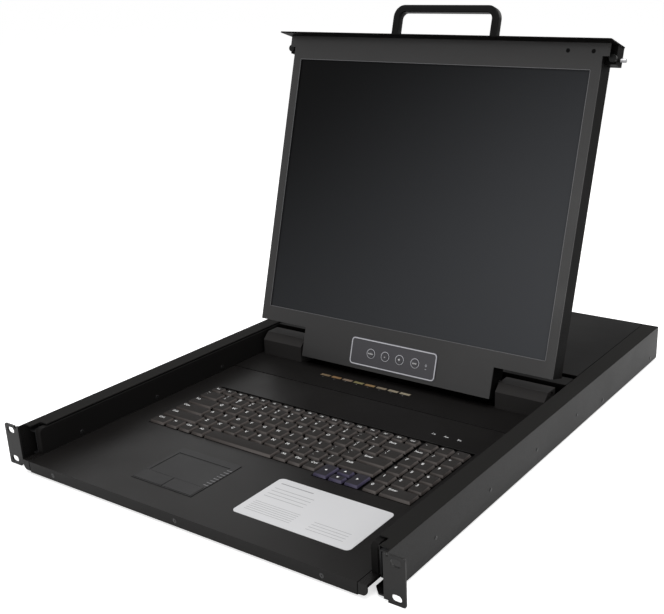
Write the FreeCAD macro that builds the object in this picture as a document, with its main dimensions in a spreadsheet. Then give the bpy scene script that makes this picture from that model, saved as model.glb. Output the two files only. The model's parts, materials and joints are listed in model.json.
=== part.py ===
import FreeCAD, Part
import os
import Sketcher

# Rack console drawer.
# A shallow chassis carries a keyboard tray on two three-part slides.
# A flat display stands on a hinge at the back of the tray and folds down over the keys.
# X runs to the right, Y runs into the rack, Z runs up.
# Heights in the table are counted from the lower edge of the rack ears.
# Every piece is lowered by half the ear height, so the origin sits in the
# middle of the four ear slots, on the front face of the ears.
# Lengths are in millimetres, angles in degrees.

Vector = FreeCAD.Vector
doc = FreeCAD.newDocument("console_drawer")
sheet = doc.addObject("Spreadsheet::Sheet", "Sizes")

TABLE = [
    # rack ears
    ("ear_span", 482.6),
    ("ear_height", 44.0),
    ("ear_gauge", 2.0),
    ("ear_inner", 220.4),
    ("ear_step_x", 224.5),
    ("ear_corner", 2.0),
    ("slot_columns", 465.1),
    ("slot_rows", 31.75),
    ("slot_long", 10.0),
    ("slot_high", 6.8),
    ("relief_in", 223.5),
    ("relief_wide", 2.5),
    ("relief_deep", 2.5),
    # chassis sheet
    ("body_wide", 446.0),
    ("body_rear", 604.0),
    ("body_low", 2.2),
    ("body_high", 43.5),
    ("sheet_gauge", 1.5),
    ("flange_edge", 203.0),
    ("flange_narrow", 212.5),
    ("flange_step", 21.0),
    ("flange_front", 9.0),
    ("floor_edge", 206.0),
    ("floor_corner", 8.0),
    ("bay_front", 404.0),
    ("cover_gap", 0.4),
    ("cover_lip", 208.0),
    ("cover_lap", 4.6),
    ("bulkhead_half", 200.0),
    ("bulkhead_high", 30.0),
    ("bore_play", 0.05),
    # telescopic slides
    ("slide_middle", 24.0),
    ("slide_half", 16.0),
    ("slide_gauge", 1.2),
    ("slide_play", 0.4),
    ("outer_lip", 214.0),
    ("middle_lip", 212.0),
    ("inner_lip", 218.0),
    ("outer_front", 24.0),
    ("outer_rear", 450.0),
    ("middle_front", 26.0),
    ("middle_rear", 446.0),
    ("inner_front", 12.0),
    ("inner_rear", 396.0),
    # tray
    ("tray_half", 200.8),
    ("tray_front", -7.0),
    ("tray_rear", 398.0),
    ("tray_low", 2.4),
    ("tray_top", 14.3),
    ("tray_gauge", 1.2),
    ("groove", 0.6),
    ("seam_at", 290.0),
    ("seam_gap", 0.5),
    ("rear_step", 0.5),
    ("strip_half", 209.7),
    ("strip_low", 11.5),
    ("tab_low", 3.6),
    ("tab_corner", 5.0),
    ("bracket_top", 40.0),
    ("rail_inner", 201.5),
    ("rail_front", 11.0),
    ("rail_top", 41.2),
    ("rail_corner", 5.0),
    ("rail_wall", 1.2),
    ("rear_cover_front", 377.0),
    ("rear_cover_half", 201.2),
    ("rear_cover_top", 42.0),
    # keyboard
    ("key_unit", 18.51),
    ("key_pitch", 18.7),
    ("keys_left", -168.9),
    ("keys_front", 120.3),
    ("keys_rear", 227.6),
    ("key_gap", 2.4),
    ("key_low", 13.8),
    ("key_high", 3.4),
    ("key_taper", 21.0),
    ("key_travel", 2.2),
    ("keys_margin", 0.9),
    ("keyboard_rear", 232.5),
    ("block_left", 115.8),
    ("block_unit", 18.6),
    ("block_front", 113.6),
    ("block_pitch", 19.2),
    ("stem_half", 2.5),
    ("stem_low", 6.5),
    ("stem_play", 0.3),
    ("base_margin", 4.0),
    ("base_top", 11.3),
    # touchpad, label and marks
    ("pad_left", -88.8),
    ("pad_right", -10.4),
    ("pad_front", 23.8),
    ("pad_rear", 93.2),
    ("pad_raise", 0.5),
    ("pad_play", 0.3),
    ("pad_corner", 2.0),
    ("touch_left", -84.7),
    ("touch_right", -16.5),
    ("touch_front", 43.6),
    ("touch_rear", 83.8),
    ("touch_deep", 0.5),
    ("button_split", -49.6),
    ("button_edge", 1.4),
    ("button_floor", 8.0),
    ("button_low", 9.8),
    ("button_travel", 0.8),
    ("label_left", 38.2),
    ("label_right", 168.5),
    ("label_front", 24.9),
    ("label_rear", 95.1),
    ("label_corner", 5.0),
    ("label_gauge", 0.3),
    ("lamp_first", -83.5),
    ("lamp_pitch", 16.14),
    ("lamp_row", 321.0),
    ("lamp_half_x", 6.6),
    ("lamp_half_y", 2.2),
    ("osd_lamp_radius", 1.4),
    ("lock_first", 111.5),
    ("lock_pitch", 15.4),
    ("lock_row", 250.5),
    ("lock_half_x", 2.6),
    ("lock_half_y", 2.0),
    ("mark_raise", 0.2),
    # hinge
    ("hinge_y", 356.8),
    ("hinge_z", 37.0),
    ("screen_tilt", 16.6),
    ("shaft_radius", 3.0),
    ("shaft_in", 110.0),
    ("shaft_out", 190.0),
    ("leaf_out", 127.0),
    ("block_in", 135.0),
    ("block_out", 194.0),
    ("block_half_front", 17.8),
    ("block_half_rear", 9.2),
    ("block_slope", 9.0),
    ("block_shoulder", 34.0),
    ("block_top", 42.0),
    ("notch_half", 131.5),
    ("notch_front", 343.0),
    ("notch_rear", 376.0),
    # display
    ("case_half", 199.8),
    ("case_low", 18.3),
    ("case_high", 366.1),
    ("case_face", -18.0),
    ("case_back", 6.4),
    ("case_wall", 1.5),
    ("tongue_half", 130.0),
    ("tongue_low", -17.0),
    ("head_half", 207.0),
    ("head_low", 353.0),
    ("window_half", 188.5),
    ("window_low", 36.4),
    ("window_high", 338.5),
    ("panel_edge", 3.5),
    ("panel_back", -6.0),
    ("plate_half", 213.0),
    ("plate_front", -33.6),
    ("plate_gauge", 1.5),
    ("plate_corner", 1.5),
    ("handle_half", 68.5),
    ("handle_top", 406.1),
    ("handle_bar", 8.0),
    ("handle_deep", 10.0),
    ("handle_middle", -4.0),
    ("handle_bend", 14.0),
    ("handle_bend_in", 7.0),
    ("osd_half", 59.5),
    ("osd_low", -12.9),
    ("osd_high", 20.5),
    ("osd_corner", 5.0),
    ("osd_gauge", 0.6),
    ("osd_button_radius", 4.6),
    ("osd_button_play", 0.3),
    ("osd_button_high", 1.0),
    ("osd_button_row", 3.8),
    ("osd_lamp_x", 46.0),
    ("vent_long", 24.0),
    ("vent_high", 2.4),
    ("vent_pitch", 7.0),
    ("vent_first", 300.0),
    # release latches
    ("latch_block_out", 212.0),
    ("latch_block_low", 346.5),
    ("latch_block_face", -10.0),
    ("latch_high", 352.3),
    ("latch_depth", -2.0),
    ("latch_radius", 2.0),
    ("latch_in", 207.0),
    ("latch_out", 219.5),
    ("latch_knob_x", 209.0),
    ("latch_knob_radius", 4.0),
    ("latch_knob_high", 3.4),
    ("latch_knob_lift", 0.6),
    ("latch_neck_play", 0.2),
    ("latch_travel", 5.0),
    # rear panel
    ("port_first", -178.0),
    ("port_pitch", 33.0),
    ("port_middle", 22.0),
    ("port_flange_half", 15.4),
    ("port_flange_high", 12.5),
    ("port_shell_half", 8.5),
    ("port_shell_high", 8.4),
    ("port_shell_lean", 1.2),
    ("port_shell_out", 5.5),
    ("port_shell_wall", 0.8),
    ("port_recess", 0.8),
    ("port_body_half", 9.3),
    ("port_body_deep", 12.0),
    ("port_cut_play", 0.4),
    ("board_low", 10.0),
    ("board_gauge", 1.6),
    ("board_left", -200.0),
    ("board_right", 80.0),
    ("board_front", 500.0),
    ("board_rear", 598.0),
    ("spacer_radius", 3.5),
    ("spacer_inset", 6.0),
    ("supply_left", 105.0),
    ("supply_right", 180.0),
    ("supply_front", 470.0),
    ("supply_rear", 582.0),
    ("supply_top", 36.0),
    ("inlet_x", 150.0),
    ("inlet_half", 13.5),
    ("inlet_high", 20.0),
    ("inlet_flange_half", 24.5),
    ("inlet_flange_high", 23.0),
    ("inlet_flange_gauge", 2.0),
    ("inlet_deep", 19.0),
    ("socket_half", 12.0),
    ("socket_high", 16.0),
    ("socket_deep", 16.0),
    ("pin_half", 1.0),
    ("pin_high", 4.0),
    ("pin_long", 13.0),
    ("pin_side", 7.0),
    ("pin_offset", 2.0),
    ("switch_x", 196.0),
    ("switch_half", 6.8),
    ("switch_high", 23.0),
    ("switch_flange", 1.2),
    ("switch_deep", 12.0),
    ("rocker_half", 5.4),
    ("rocker_play", 0.3),
    ("rocker_reach", 8.6),
    ("rocker_front", 2.4),
    ("rocker_kick", 2.5),
    ("rocker_back", 4.0),
    ("rocker_back_reach", 6.4),
    ("rocker_well", 10.2),
    ("rocker_pin", 1.2),
]


class Size:
    """A number together with the sheet formula that gives it."""

    def __init__(self, number, formula):
        self.number = float(number)
        self.formula = formula

    def __add__(self, other):
        other = sized(other)
        return Size(self.number + other.number, "(%s + %s)" % (self.formula, other.formula))

    def __radd__(self, other):
        return sized(other) + self

    def __sub__(self, other):
        other = sized(other)
        return Size(self.number - other.number, "(%s - %s)" % (self.formula, other.formula))

    def __rsub__(self, other):
        return sized(other) - self

    def __mul__(self, other):
        other = sized(other)
        return Size(self.number * other.number, "(%s * %s)" % (self.formula, other.formula))

    def __rmul__(self, other):
        return sized(other) * self

    def __truediv__(self, other):
        other = sized(other)
        return Size(self.number / other.number, "(%s / %s)" % (self.formula, other.formula))

    def __neg__(self):
        return Size(-self.number, "(0 - %s)" % self.formula)


def sized(value):
    """Gives a plain number the same form as a size from the sheet."""
    if isinstance(value, Size):
        return value
    return Size(value, repr(float(value)))


class Book:
    """Holds each size of the sheet under its own name."""


s = Book()
for line, (name, value) in enumerate(TABLE, start=1):
    sheet.set("A%d" % line, name)
    sheet.set("B%d" % line, str(value))
    sheet.setAlias("B%d" % line, name)
    setattr(s, name, Size(value, "Sizes." + name))
doc.recompute()

SIDES = {"left": -1, "right": 1}
PLANES = {"XY": "XY_Plane", "XZ": "XZ_Plane", "YZ": "YZ_Plane"}
pieces = []


def piece(label, tilted=False):
    """Starts a new sub-part, upright or leaning with the display."""
    body = doc.addObject("PartDesign::Body", label)
    body.Label = label
    body.AllowCompound = True
    if tilted:
        turn = FreeCAD.Rotation(Vector(-1, 0, 0), s.screen_tilt.number)
        body.Placement = FreeCAD.Placement(Vector(0, 0, 0), turn)
        body.setExpression("Placement.Rotation.Angle", s.screen_tilt.formula)
        body.setExpression("Placement.Base.y", s.hinge_y.formula)
        body.setExpression("Placement.Base.z", (s.hinge_z - s.ear_height / 2).formula)
    else:
        body.setExpression("Placement.Base.z", (-s.ear_height / 2).formula)
    pieces.append(body)
    return body


class Drawing:
    """Collects the lines of a sketch and the ties that hold them."""

    def __init__(self):
        self.shapes = []
        self.ties = []
        self.formulas = []

    def add(self, shape):
        """Takes in a line or arc and gives its number."""
        self.shapes.append(shape)
        return len(self.shapes) - 1

    def tie(self, kind, *members):
        """Takes in a tie between two lines."""
        self.ties.append(Sketcher.Constraint(kind, *members))

    def bind(self, kind, geometry, place, value):
        """Ties one point to the origin by a size."""
        self.formulas.append((len(self.ties), value.formula))
        self.ties.append(Sketcher.Constraint(kind, -1, 1, geometry, place, value.number))

    def bind_radius(self, geometry, value):
        """Ties the radius of an arc or circle to a size."""
        self.formulas.append((len(self.ties), value.formula))
        self.ties.append(Sketcher.Constraint("Radius", geometry, value.number))

    def put(self, item):
        """Hands everything over to the sketch."""
        item.addGeometry(self.shapes, False)
        item.addConstraint(self.ties)
        for index, formula in self.formulas:
            item.setExpression("Constraints[%d]" % index, formula)


def draw_circle(drawing, x, y, radius):
    """Draws a circle held by its centre and radius."""
    ring = Part.Circle(Vector(x.number, y.number, 0), Vector(0, 0, 1), radius.number)
    index = drawing.add(ring)
    drawing.bind("DistanceX", index, 3, x)
    drawing.bind("DistanceY", index, 3, y)
    drawing.bind_radius(index, radius)


def draw_slot(drawing, x, y, length, height):
    """Draws a slot with round ends, long side along the first axis."""
    radius = height / 2
    ends = []
    for sign, begin, finish in ((-1, 90, 270), (1, -90, 90)):
        centre = x + (length / 2 - radius) * sign
        ring = Part.Circle(Vector(centre.number, y.number, 0), Vector(0, 0, 1), radius.number)
        arc = Part.ArcOfCircle(ring, begin * 3.14159265 / 180, finish * 3.14159265 / 180)
        index = drawing.add(arc)
        drawing.bind("DistanceX", index, 3, centre)
        drawing.bind("DistanceY", index, 3, y)
        drawing.bind_radius(index, radius)
        ends.append((index, centre.number))
    low = y.number - radius.number
    high = y.number + radius.number
    (near, near_x), (far, far_x) = ends
    below = drawing.add(Part.LineSegment(Vector(near_x, low, 0), Vector(far_x, low, 0)))
    above = drawing.add(Part.LineSegment(Vector(far_x, high, 0), Vector(near_x, high, 0)))
    drawing.tie("Tangent", near, 2, below, 1)
    drawing.tie("Tangent", below, 2, far, 1)
    drawing.tie("Tangent", far, 2, above, 1)
    drawing.tie("Tangent", above, 2, near, 1)


def draw_outline(drawing, corners):
    """Draws a closed outline; a corner with a third value is rounded by it."""
    corners = [tuple(sized(value) for value in corner) for corner in corners]
    count = len(corners)
    spots = [Vector(corner[0].number, corner[1].number, 0) for corner in corners]
    enter = []
    leave = []
    for number, corner in enumerate(corners):
        here = spots[number]
        back = (spots[number - 1] - here).normalize()
        ahead = (spots[(number + 1) % count] - here).normalize()
        radius = corner[2].number if len(corner) == 3 else 0
        enter.append(here + back * radius)
        leave.append(here + ahead * radius)
    lines = []
    for number in range(count):
        segment = Part.LineSegment(leave[number], enter[(number + 1) % count])
        lines.append(drawing.add(segment))
    plain = count == 4 and all(len(corner) == 2 for corner in corners)
    if plain and corners[0][1] is corners[1][1] and corners[1][0] is corners[2][0]:
        for number in range(4):
            drawing.tie("Coincident", lines[number - 1], 2, lines[number], 1)
        for number in (0, 2):
            drawing.tie("Horizontal", lines[number])
            drawing.tie("Vertical", lines[number + 1])
            drawing.bind("DistanceX", lines[number], 1, corners[number][0])
            drawing.bind("DistanceY", lines[number], 1, corners[number][1])
        return
    for number, corner in enumerate(corners):
        before = lines[number - 1]
        after = lines[number]
        if len(corner) == 2:
            drawing.tie("Coincident", before, 2, after, 1)
            drawing.bind("DistanceX", after, 1, corner[0])
            drawing.bind("DistanceY", after, 1, corner[1])
            continue
        here = spots[number]
        side = (enter[number] - here) + (leave[number] - here)
        centre_x = corner[0] + corner[2] * round(side.x / corner[2].number)
        centre_y = corner[1] + corner[2] * round(side.y / corner[2].number)
        centre = Vector(centre_x.number, centre_y.number, 0)
        ring = Part.Circle(centre, Vector(0, 0, 1), corner[2].number)
        turning = (here - enter[number]).cross(leave[number] - here).z > 0
        first = enter[number] if turning else leave[number]
        last = leave[number] if turning else enter[number]
        arc = Part.ArcOfCircle(ring, ring.parameter(first), ring.parameter(last))
        index = drawing.add(arc)
        drawing.tie("Tangent", before, 2, index, 1 if turning else 2)
        drawing.tie("Tangent", index, 2 if turning else 1, after, 1)
        drawing.bind("DistanceX", index, 3, centre_x)
        drawing.bind("DistanceY", index, 3, centre_y)
        drawing.bind_radius(index, corner[2])


def sketch(body, plane, offset, loops):
    """Draws closed loops on a plane of the sub-part, moved along its normal."""
    item = body.newObject("Sketcher::SketchObject", body.Name + "_outline")
    base = [feature for feature in body.Origin.OriginFeatures if feature.Role == PLANES[plane]][0]
    item.AttachmentSupport = [(base, "")]
    item.MapMode = "FlatFace"
    item.setExpression("AttachmentOffset.Base.z", offset.formula)
    drawing = Drawing()
    for loop in loops:
        if loop[0] == "circle":
            draw_circle(drawing, *[sized(value) for value in loop[1:]])
        elif loop[0] == "slot":
            draw_slot(drawing, *[sized(value) for value in loop[1:]])
        else:
            draw_outline(drawing, loop)
    drawing.put(item)
    return item


def extrude(body, plane, start, end, loops, cut=False, taper=None):
    """Adds or removes material between two stations of the axis across the plane."""
    start = sized(start)
    length = sized(end) - start
    before = body.Shape.Volume if cut else 0
    profile = sketch(body, plane, -start if plane == "XZ" else start, loops)
    kind = "PartDesign::Pocket" if cut else "PartDesign::Pad"
    item = body.newObject(kind, body.Name + ("_cut" if cut else "_solid"))
    item.Profile = profile
    item.Length = length.number
    item.setExpression("Length", length.formula)
    item.Reversed = (plane == "XZ") != cut
    if taper is not None:
        item.TaperAngle = taper.number
        item.setExpression("TaperAngle", taper.formula)
    profile.Visibility = False
    body.Tip = item
    doc.recompute()
    if cut and not body.Shape.Volume < before - 1e-6:
        raise RuntimeError("a cut in %s removes nothing" % body.Label)
    return item


def rect(left, low, right, high, radius=None):
    """Corners of a rectangle, all rounded alike when a radius is given."""
    left, low, right, high = [sized(value) for value in (left, low, right, high)]
    spots = [(left, low), (right, low), (right, high), (left, high)]
    if radius is None:
        return spots
    return [(x, y, radius) for x, y in spots]


def flip(side, corners):
    """Mirrors an outline to the left side when the side is negative."""
    return [(sized(corner[0]) * side,) + tuple(corner[1:]) for corner in corners]


def slab(body, side, inner, outer, loops, cut=False):
    """Extrudes along X between two distances from the middle, on one side."""
    start = sized(inner) if side > 0 else -sized(outer)
    end = sized(outer) if side > 0 else -sized(inner)
    return extrude(body, "YZ", start, end, loops, cut)


def block(body, x, y, z, cut=False):
    """Adds or removes a plain box given by its three ranges."""
    return extrude(body, "XY", z[0], z[1], [rect(x[0], y[0], x[1], y[1])], cut)


def repeat(body, item, axis, pitch, count):
    """Repeats a feature at a pitch along one axis of the sub-part."""
    if count < 2:
        return item
    length = pitch * (count - 1)
    pattern = body.newObject("PartDesign::LinearPattern", body.Name + "_repeat")
    pattern.Originals = [item]
    base = [feature for feature in body.Origin.OriginFeatures if feature.Role == axis][0]
    pattern.Direction = (base, [""])
    pattern.Length = length.number
    pattern.setExpression("Length", length.formula)
    pattern.Occurrences = count
    body.Tip = pattern
    doc.recompute()
    return pattern


# Shared positions that follow from the table

half_wide = s.body_wide / 2
wall_face = half_wide - s.sheet_gauge
floor_top = s.body_low + s.sheet_gauge
roof_under = s.body_high - s.sheet_gauge
slide_outer_web = wall_face - s.slide_gauge
slide_middle_web = slide_outer_web - s.slide_play
slide_middle_half = s.slide_half - s.slide_gauge - s.slide_play
slide_inner_half = slide_middle_half - s.slide_gauge - s.slide_play

# Rack ears with slotted mounting holes

for word, side in SIDES.items():
    ear = piece(word + "_ear")
    outer = s.ear_span / 2
    outline = [
        (s.ear_inner, s.body_low),
        (s.ear_step_x, s.body_low),
        (s.ear_step_x, 0),
        (outer, 0, s.ear_corner),
        (outer, s.ear_height, s.ear_corner),
        (s.relief_in + s.relief_wide, s.ear_height),
        (s.relief_in + s.relief_wide, s.ear_height - s.relief_deep),
        (s.relief_in, s.ear_height - s.relief_deep),
        (s.relief_in, s.ear_height),
        (s.ear_inner, s.ear_height),
    ]
    extrude(ear, "XZ", 0, s.ear_gauge, [flip(side, outline)])
    slots = []
    for level in (-1, 1):
        centre = s.ear_height / 2 + s.slot_rows / 2 * level
        slots.append(("slot", s.slot_columns / 2 * side, centre, s.slot_long, s.slot_high))
    extrude(ear, "XZ", 0, s.ear_gauge, slots, cut=True)

# Chassis walls, each a folded channel with flanges turned inward

for word, side in SIDES.items():
    wall = piece(word + "_wall")
    slab(wall, side, wall_face, half_wide, [rect(s.ear_gauge, s.body_low, s.body_rear, s.body_high)])
    roof = [
        (s.flange_narrow, s.flange_front),
        (s.flange_narrow, s.flange_step),
        (s.flange_edge, s.flange_step),
        (s.flange_edge, s.body_rear),
        (wall_face, s.body_rear),
        (wall_face, s.flange_front),
    ]
    extrude(wall, "XY", roof_under, s.body_high, [flip(side, roof)])
    floor = [
        (s.floor_edge + s.floor_corner, s.ear_gauge),
        (s.floor_edge, s.ear_gauge + s.floor_corner),
        (s.floor_edge, s.body_rear),
        (wall_face, s.body_rear),
        (wall_face, s.ear_gauge),
    ]
    extrude(wall, "XY", s.body_low, floor_top, [flip(side, floor)])

# Fixed, middle and moving members of the slides


def channel(side, web, thick, lip, half):
    """Profile of a slide member in the XZ plane, web first and lips towards lip."""
    low = s.slide_middle - half
    high = s.slide_middle + half
    return flip(side, [
        (web, low),
        (lip, low),
        (lip, low + s.slide_gauge),
        (web + thick, low + s.slide_gauge),
        (web + thick, high - s.slide_gauge),
        (lip, high - s.slide_gauge),
        (lip, high),
        (web, high),
    ])


for word, side in SIDES.items():
    fixed = piece("slide_outer_" + word)
    profile = channel(side, wall_face, -s.slide_gauge, s.outer_lip, s.slide_half)
    extrude(fixed, "XZ", s.outer_front, s.outer_rear, [profile])
    member = piece("slide_mid_" + word)
    profile = channel(side, slide_middle_web, -s.slide_gauge, s.middle_lip, slide_middle_half)
    extrude(member, "XZ", s.middle_front, s.middle_rear, [profile])
    moving = piece("slide_inner_" + word)
    profile = channel(side, s.strip_half, s.slide_gauge, s.inner_lip, slide_inner_half)
    extrude(moving, "XZ", s.inner_front, s.inner_rear, [profile])

# Rear bay: floor, cover and rear panel

pan = piece("rear_pan")
block(pan, (-wall_face, wall_face), (s.bay_front, s.body_rear - s.sheet_gauge),
      (floor_top, floor_top + s.sheet_gauge))
block(pan, (-s.bulkhead_half, s.bulkhead_half), (s.bay_front, s.bay_front + s.sheet_gauge),
      (floor_top + s.sheet_gauge, s.bulkhead_high))

cover = piece("rear_cover")
edge = s.flange_edge - s.cover_gap
block(cover, (-edge, edge), (s.bay_front, s.body_rear), (roof_under, s.body_high))
for side in SIDES.values():
    lip = [(edge - s.cover_lap, s.bay_front), (s.cover_lip, s.bay_front),
           (s.cover_lip, s.body_rear - s.sheet_gauge), (edge - s.cover_lap, s.body_rear - s.sheet_gauge)]
    extrude(cover, "XY", roof_under - s.sheet_gauge, roof_under, [flip(side, lip)])

panel_front = s.body_rear - s.sheet_gauge
port_count = 8


def d_shape(x, shrink):
    """Outline of a D connector, wider at the top."""
    half = s.port_shell_half - shrink
    low = s.port_middle - s.port_shell_high / 2 + shrink
    high = s.port_middle + s.port_shell_high / 2 - shrink
    return [(x - half, high), (x - half + s.port_shell_lean, low),
            (x + half - s.port_shell_lean, low), (x + half, high)]


back = piece("rear_panel")
extrude(back, "XZ", panel_front, s.body_rear, [rect(-wall_face, floor_top, wall_face, roof_under)])
x = s.port_first
half = s.port_body_half + s.port_cut_play
high = s.port_shell_high / 2 + s.port_shell_wall + s.port_cut_play
cutout = [rect(x - half, s.port_middle - high, x + half, s.port_middle + high)]
item = extrude(back, "XZ", panel_front, s.body_rear, cutout, cut=True)
repeat(back, item, "X_Axis", s.port_pitch, port_count)
holes = []
half = s.inlet_half + s.port_cut_play
high = s.inlet_high / 2 + s.port_cut_play
holes.append(rect(s.inlet_x - half, s.port_middle - high, s.inlet_x + half, s.port_middle + high))
half = s.switch_half - s.switch_flange + s.port_cut_play
high = s.switch_high / 2 - s.switch_flange + s.port_cut_play
holes.append(rect(s.switch_x - half, s.port_middle - high, s.switch_x + half, s.port_middle + high))
extrude(back, "XZ", panel_front, s.body_rear, holes, cut=True)

# Console ports: flange outside, D shell with its insert, housing on the board

board_top = s.board_low + s.board_gauge
sockets = piece("console_ports")
shell_end = s.body_rear + 1 + s.port_shell_out
high = s.port_shell_high / 2 + s.port_shell_wall
housing = rect(x - s.port_body_half, s.port_middle - high, x + s.port_body_half, s.port_middle + high)
flange = rect(x - s.port_flange_half, s.port_middle - s.port_flange_high / 2,
              x + s.port_flange_half, s.port_middle + s.port_flange_high / 2)
foot = rect(x - s.port_body_half, s.body_rear - s.port_body_deep, x + s.port_body_half, s.board_rear)
for plane, start, end, outline in (
        ("XZ", s.body_rear - s.port_body_deep, s.body_rear, housing),
        ("XZ", s.body_rear, s.body_rear + 1, flange),
        ("XZ", s.body_rear + 1, shell_end, d_shape(x, 0)),
        ("XY", board_top, s.port_middle, foot)):
    item = extrude(sockets, plane, start, end, [outline])
    repeat(sockets, item, "X_Axis", s.port_pitch, port_count)
item = extrude(sockets, "XZ", shell_end - s.port_recess, shell_end, [d_shape(x, s.port_shell_wall)], cut=True)
repeat(sockets, item, "X_Axis", s.port_pitch, port_count)

board = piece("switch_board")
block(board, (s.board_left, s.board_right), (s.board_front, s.board_rear), (s.board_low, board_top))
spacers = []
for x in (s.board_left + s.spacer_inset, s.board_right - s.spacer_inset):
    for y in (s.board_front + s.spacer_inset, s.board_rear - s.spacer_inset):
        spacers.append(("circle", x, y, s.spacer_radius))
extrude(board, "XY", floor_top + s.sheet_gauge, s.board_low, spacers)

supply = piece("power_supply")
block(supply, (s.supply_left, s.supply_right), (s.supply_front, s.supply_rear),
      (floor_top + s.sheet_gauge, s.supply_top))

# Mains inlet with three pins in a deep cavity

inlet = piece("power_inlet")
low = s.port_middle - s.inlet_high / 2
high = s.port_middle + s.inlet_high / 2
inlet_out = s.body_rear + s.inlet_flange_gauge
extrude(inlet, "XZ", s.body_rear - s.inlet_deep, s.body_rear,
        [rect(s.inlet_x - s.inlet_half, low, s.inlet_x + s.inlet_half, high)])
extrude(inlet, "XZ", s.body_rear, inlet_out,
        [rect(s.inlet_x - s.inlet_flange_half, s.port_middle - s.inlet_flange_high / 2,
              s.inlet_x + s.inlet_flange_half, s.port_middle + s.inlet_flange_high / 2, 3)])
low = s.port_middle - s.socket_high / 2
high = s.port_middle + s.socket_high / 2
slope = s.socket_half / 3
cavity = [
    (s.inlet_x - s.socket_half, low),
    (s.inlet_x + s.socket_half, low),
    (s.inlet_x + s.socket_half, high - slope),
    (s.inlet_x + s.socket_half - slope, high),
    (s.inlet_x - s.socket_half + slope, high),
    (s.inlet_x - s.socket_half, high - slope),
]
extrude(inlet, "XZ", inlet_out - s.socket_deep, inlet_out, [cavity], cut=True)
pins = []
for across, up in ((-1, -1), (0, 1), (1, -1)):
    x = s.inlet_x + s.pin_side * across
    z = s.port_middle + s.pin_offset * up
    pins.append(rect(x - s.pin_half, z - s.pin_high / 2, x + s.pin_half, z + s.pin_high / 2))
extrude(inlet, "XZ", inlet_out - s.socket_deep, inlet_out - s.socket_deep + s.pin_long, pins)

# Mains switch frame and its rocker

frame = piece("power_switch")
inner_half = s.switch_half - s.switch_flange
inner_high = s.switch_high / 2 - s.switch_flange
extrude(frame, "XZ", s.body_rear - s.switch_deep, s.body_rear,
        [rect(s.switch_x - inner_half, s.port_middle - inner_high,
              s.switch_x + inner_half, s.port_middle + inner_high)])
extrude(frame, "XZ", s.body_rear, s.body_rear + s.switch_flange,
        [rect(s.switch_x - s.switch_half, s.port_middle - s.switch_high / 2,
              s.switch_x + s.switch_half, s.port_middle + s.switch_high / 2, 1)])
well_half = s.rocker_half - s.sheet_gauge + s.rocker_play
extrude(frame, "XZ", s.body_rear - s.switch_deep + s.sheet_gauge, s.body_rear + s.switch_flange,
        [rect(s.switch_x - well_half, s.port_middle - s.rocker_well,
              s.switch_x + well_half, s.port_middle + s.rocker_well)], cut=True)
extrude(frame, "YZ", s.switch_x - inner_half, s.switch_x + inner_half,
        [("circle", s.body_rear - s.rocker_back / 2, s.port_middle, s.rocker_pin + s.bore_play)], cut=True)

rocker = piece("power_rocker")
rocker_half = s.rocker_half - s.sheet_gauge
front = s.body_rear + s.rocker_front
extrude(rocker, "YZ", s.switch_x - rocker_half, s.switch_x + rocker_half, [[
    (s.body_rear - s.rocker_back, s.port_middle - s.rocker_back_reach),
    (s.body_rear - 1, s.port_middle - s.rocker_reach),
    (front, s.port_middle - s.rocker_reach),
    (front, s.port_middle),
    (front + s.rocker_kick, s.port_middle + s.rocker_reach),
    (s.body_rear + 1, s.port_middle + s.rocker_reach),
    (s.body_rear - s.rocker_back, s.port_middle + s.rocker_back_reach),
]])
extrude(rocker, "YZ", s.switch_x - inner_half, s.switch_x + inner_half,
        [("circle", s.body_rear - s.rocker_back / 2, s.port_middle, s.rocker_pin)])

# Tray pan: a shallow tub under the keyboard

pan_front = s.tray_front + s.tray_gauge
pan_floor = s.tray_low + s.tray_gauge
pan_top = s.tray_top - s.tray_gauge
tub = piece("tray_pan")
block(tub, (-s.tray_half, s.tray_half), (pan_front, s.tray_rear), (s.tray_low, pan_top))
block(tub, (-s.tray_half + s.tray_gauge, s.tray_half - s.tray_gauge),
      (pan_front + s.tray_gauge, s.tray_rear - s.tray_gauge), (pan_floor, pan_top), cut=True)

# Keyboard panel with its folded front lip and its openings

panel = piece("keyboard_panel")
panel_half = s.tray_half - s.groove
block(panel, (-panel_half, panel_half), (s.tray_front, s.seam_at - s.seam_gap / 2), (pan_top, s.tray_top))
block(panel, (-panel_half, panel_half), (s.tray_front, pan_front), (s.tray_low, pan_top))
reach = s.key_gap / 2 - s.keys_margin
opening_left = s.keys_left + reach
opening_right = s.block_left + s.block_unit * 3 - reach
opening_step = s.keys_left + s.key_unit * 12.25 + reach
keys_opening = [
    (opening_left, s.keys_front + reach),
    (opening_step, s.keys_front + reach),
    (opening_step, s.block_front + reach),
    (opening_right, s.block_front + reach),
    (opening_right, s.keyboard_rear),
    (opening_left, s.keyboard_rear),
]
pad_opening = rect(s.pad_left - s.bore_play, s.pad_front - s.bore_play,
                   s.pad_right + s.bore_play, s.pad_rear + s.bore_play)
extrude(panel, "XY", pan_top, s.tray_top, [keys_opening, pad_opening], cut=True)

# Rear deck with the slot the display tongue swings through

deck = piece("indicator_panel")
deck_top = s.tray_top + s.rear_step
block(deck, (-panel_half, panel_half), (s.seam_at + s.seam_gap / 2, s.tray_rear), (pan_top, deck_top))
block(deck, (-s.notch_half, s.notch_half), (s.notch_front, s.notch_rear), (pan_top, deck_top), cut=True)

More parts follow.
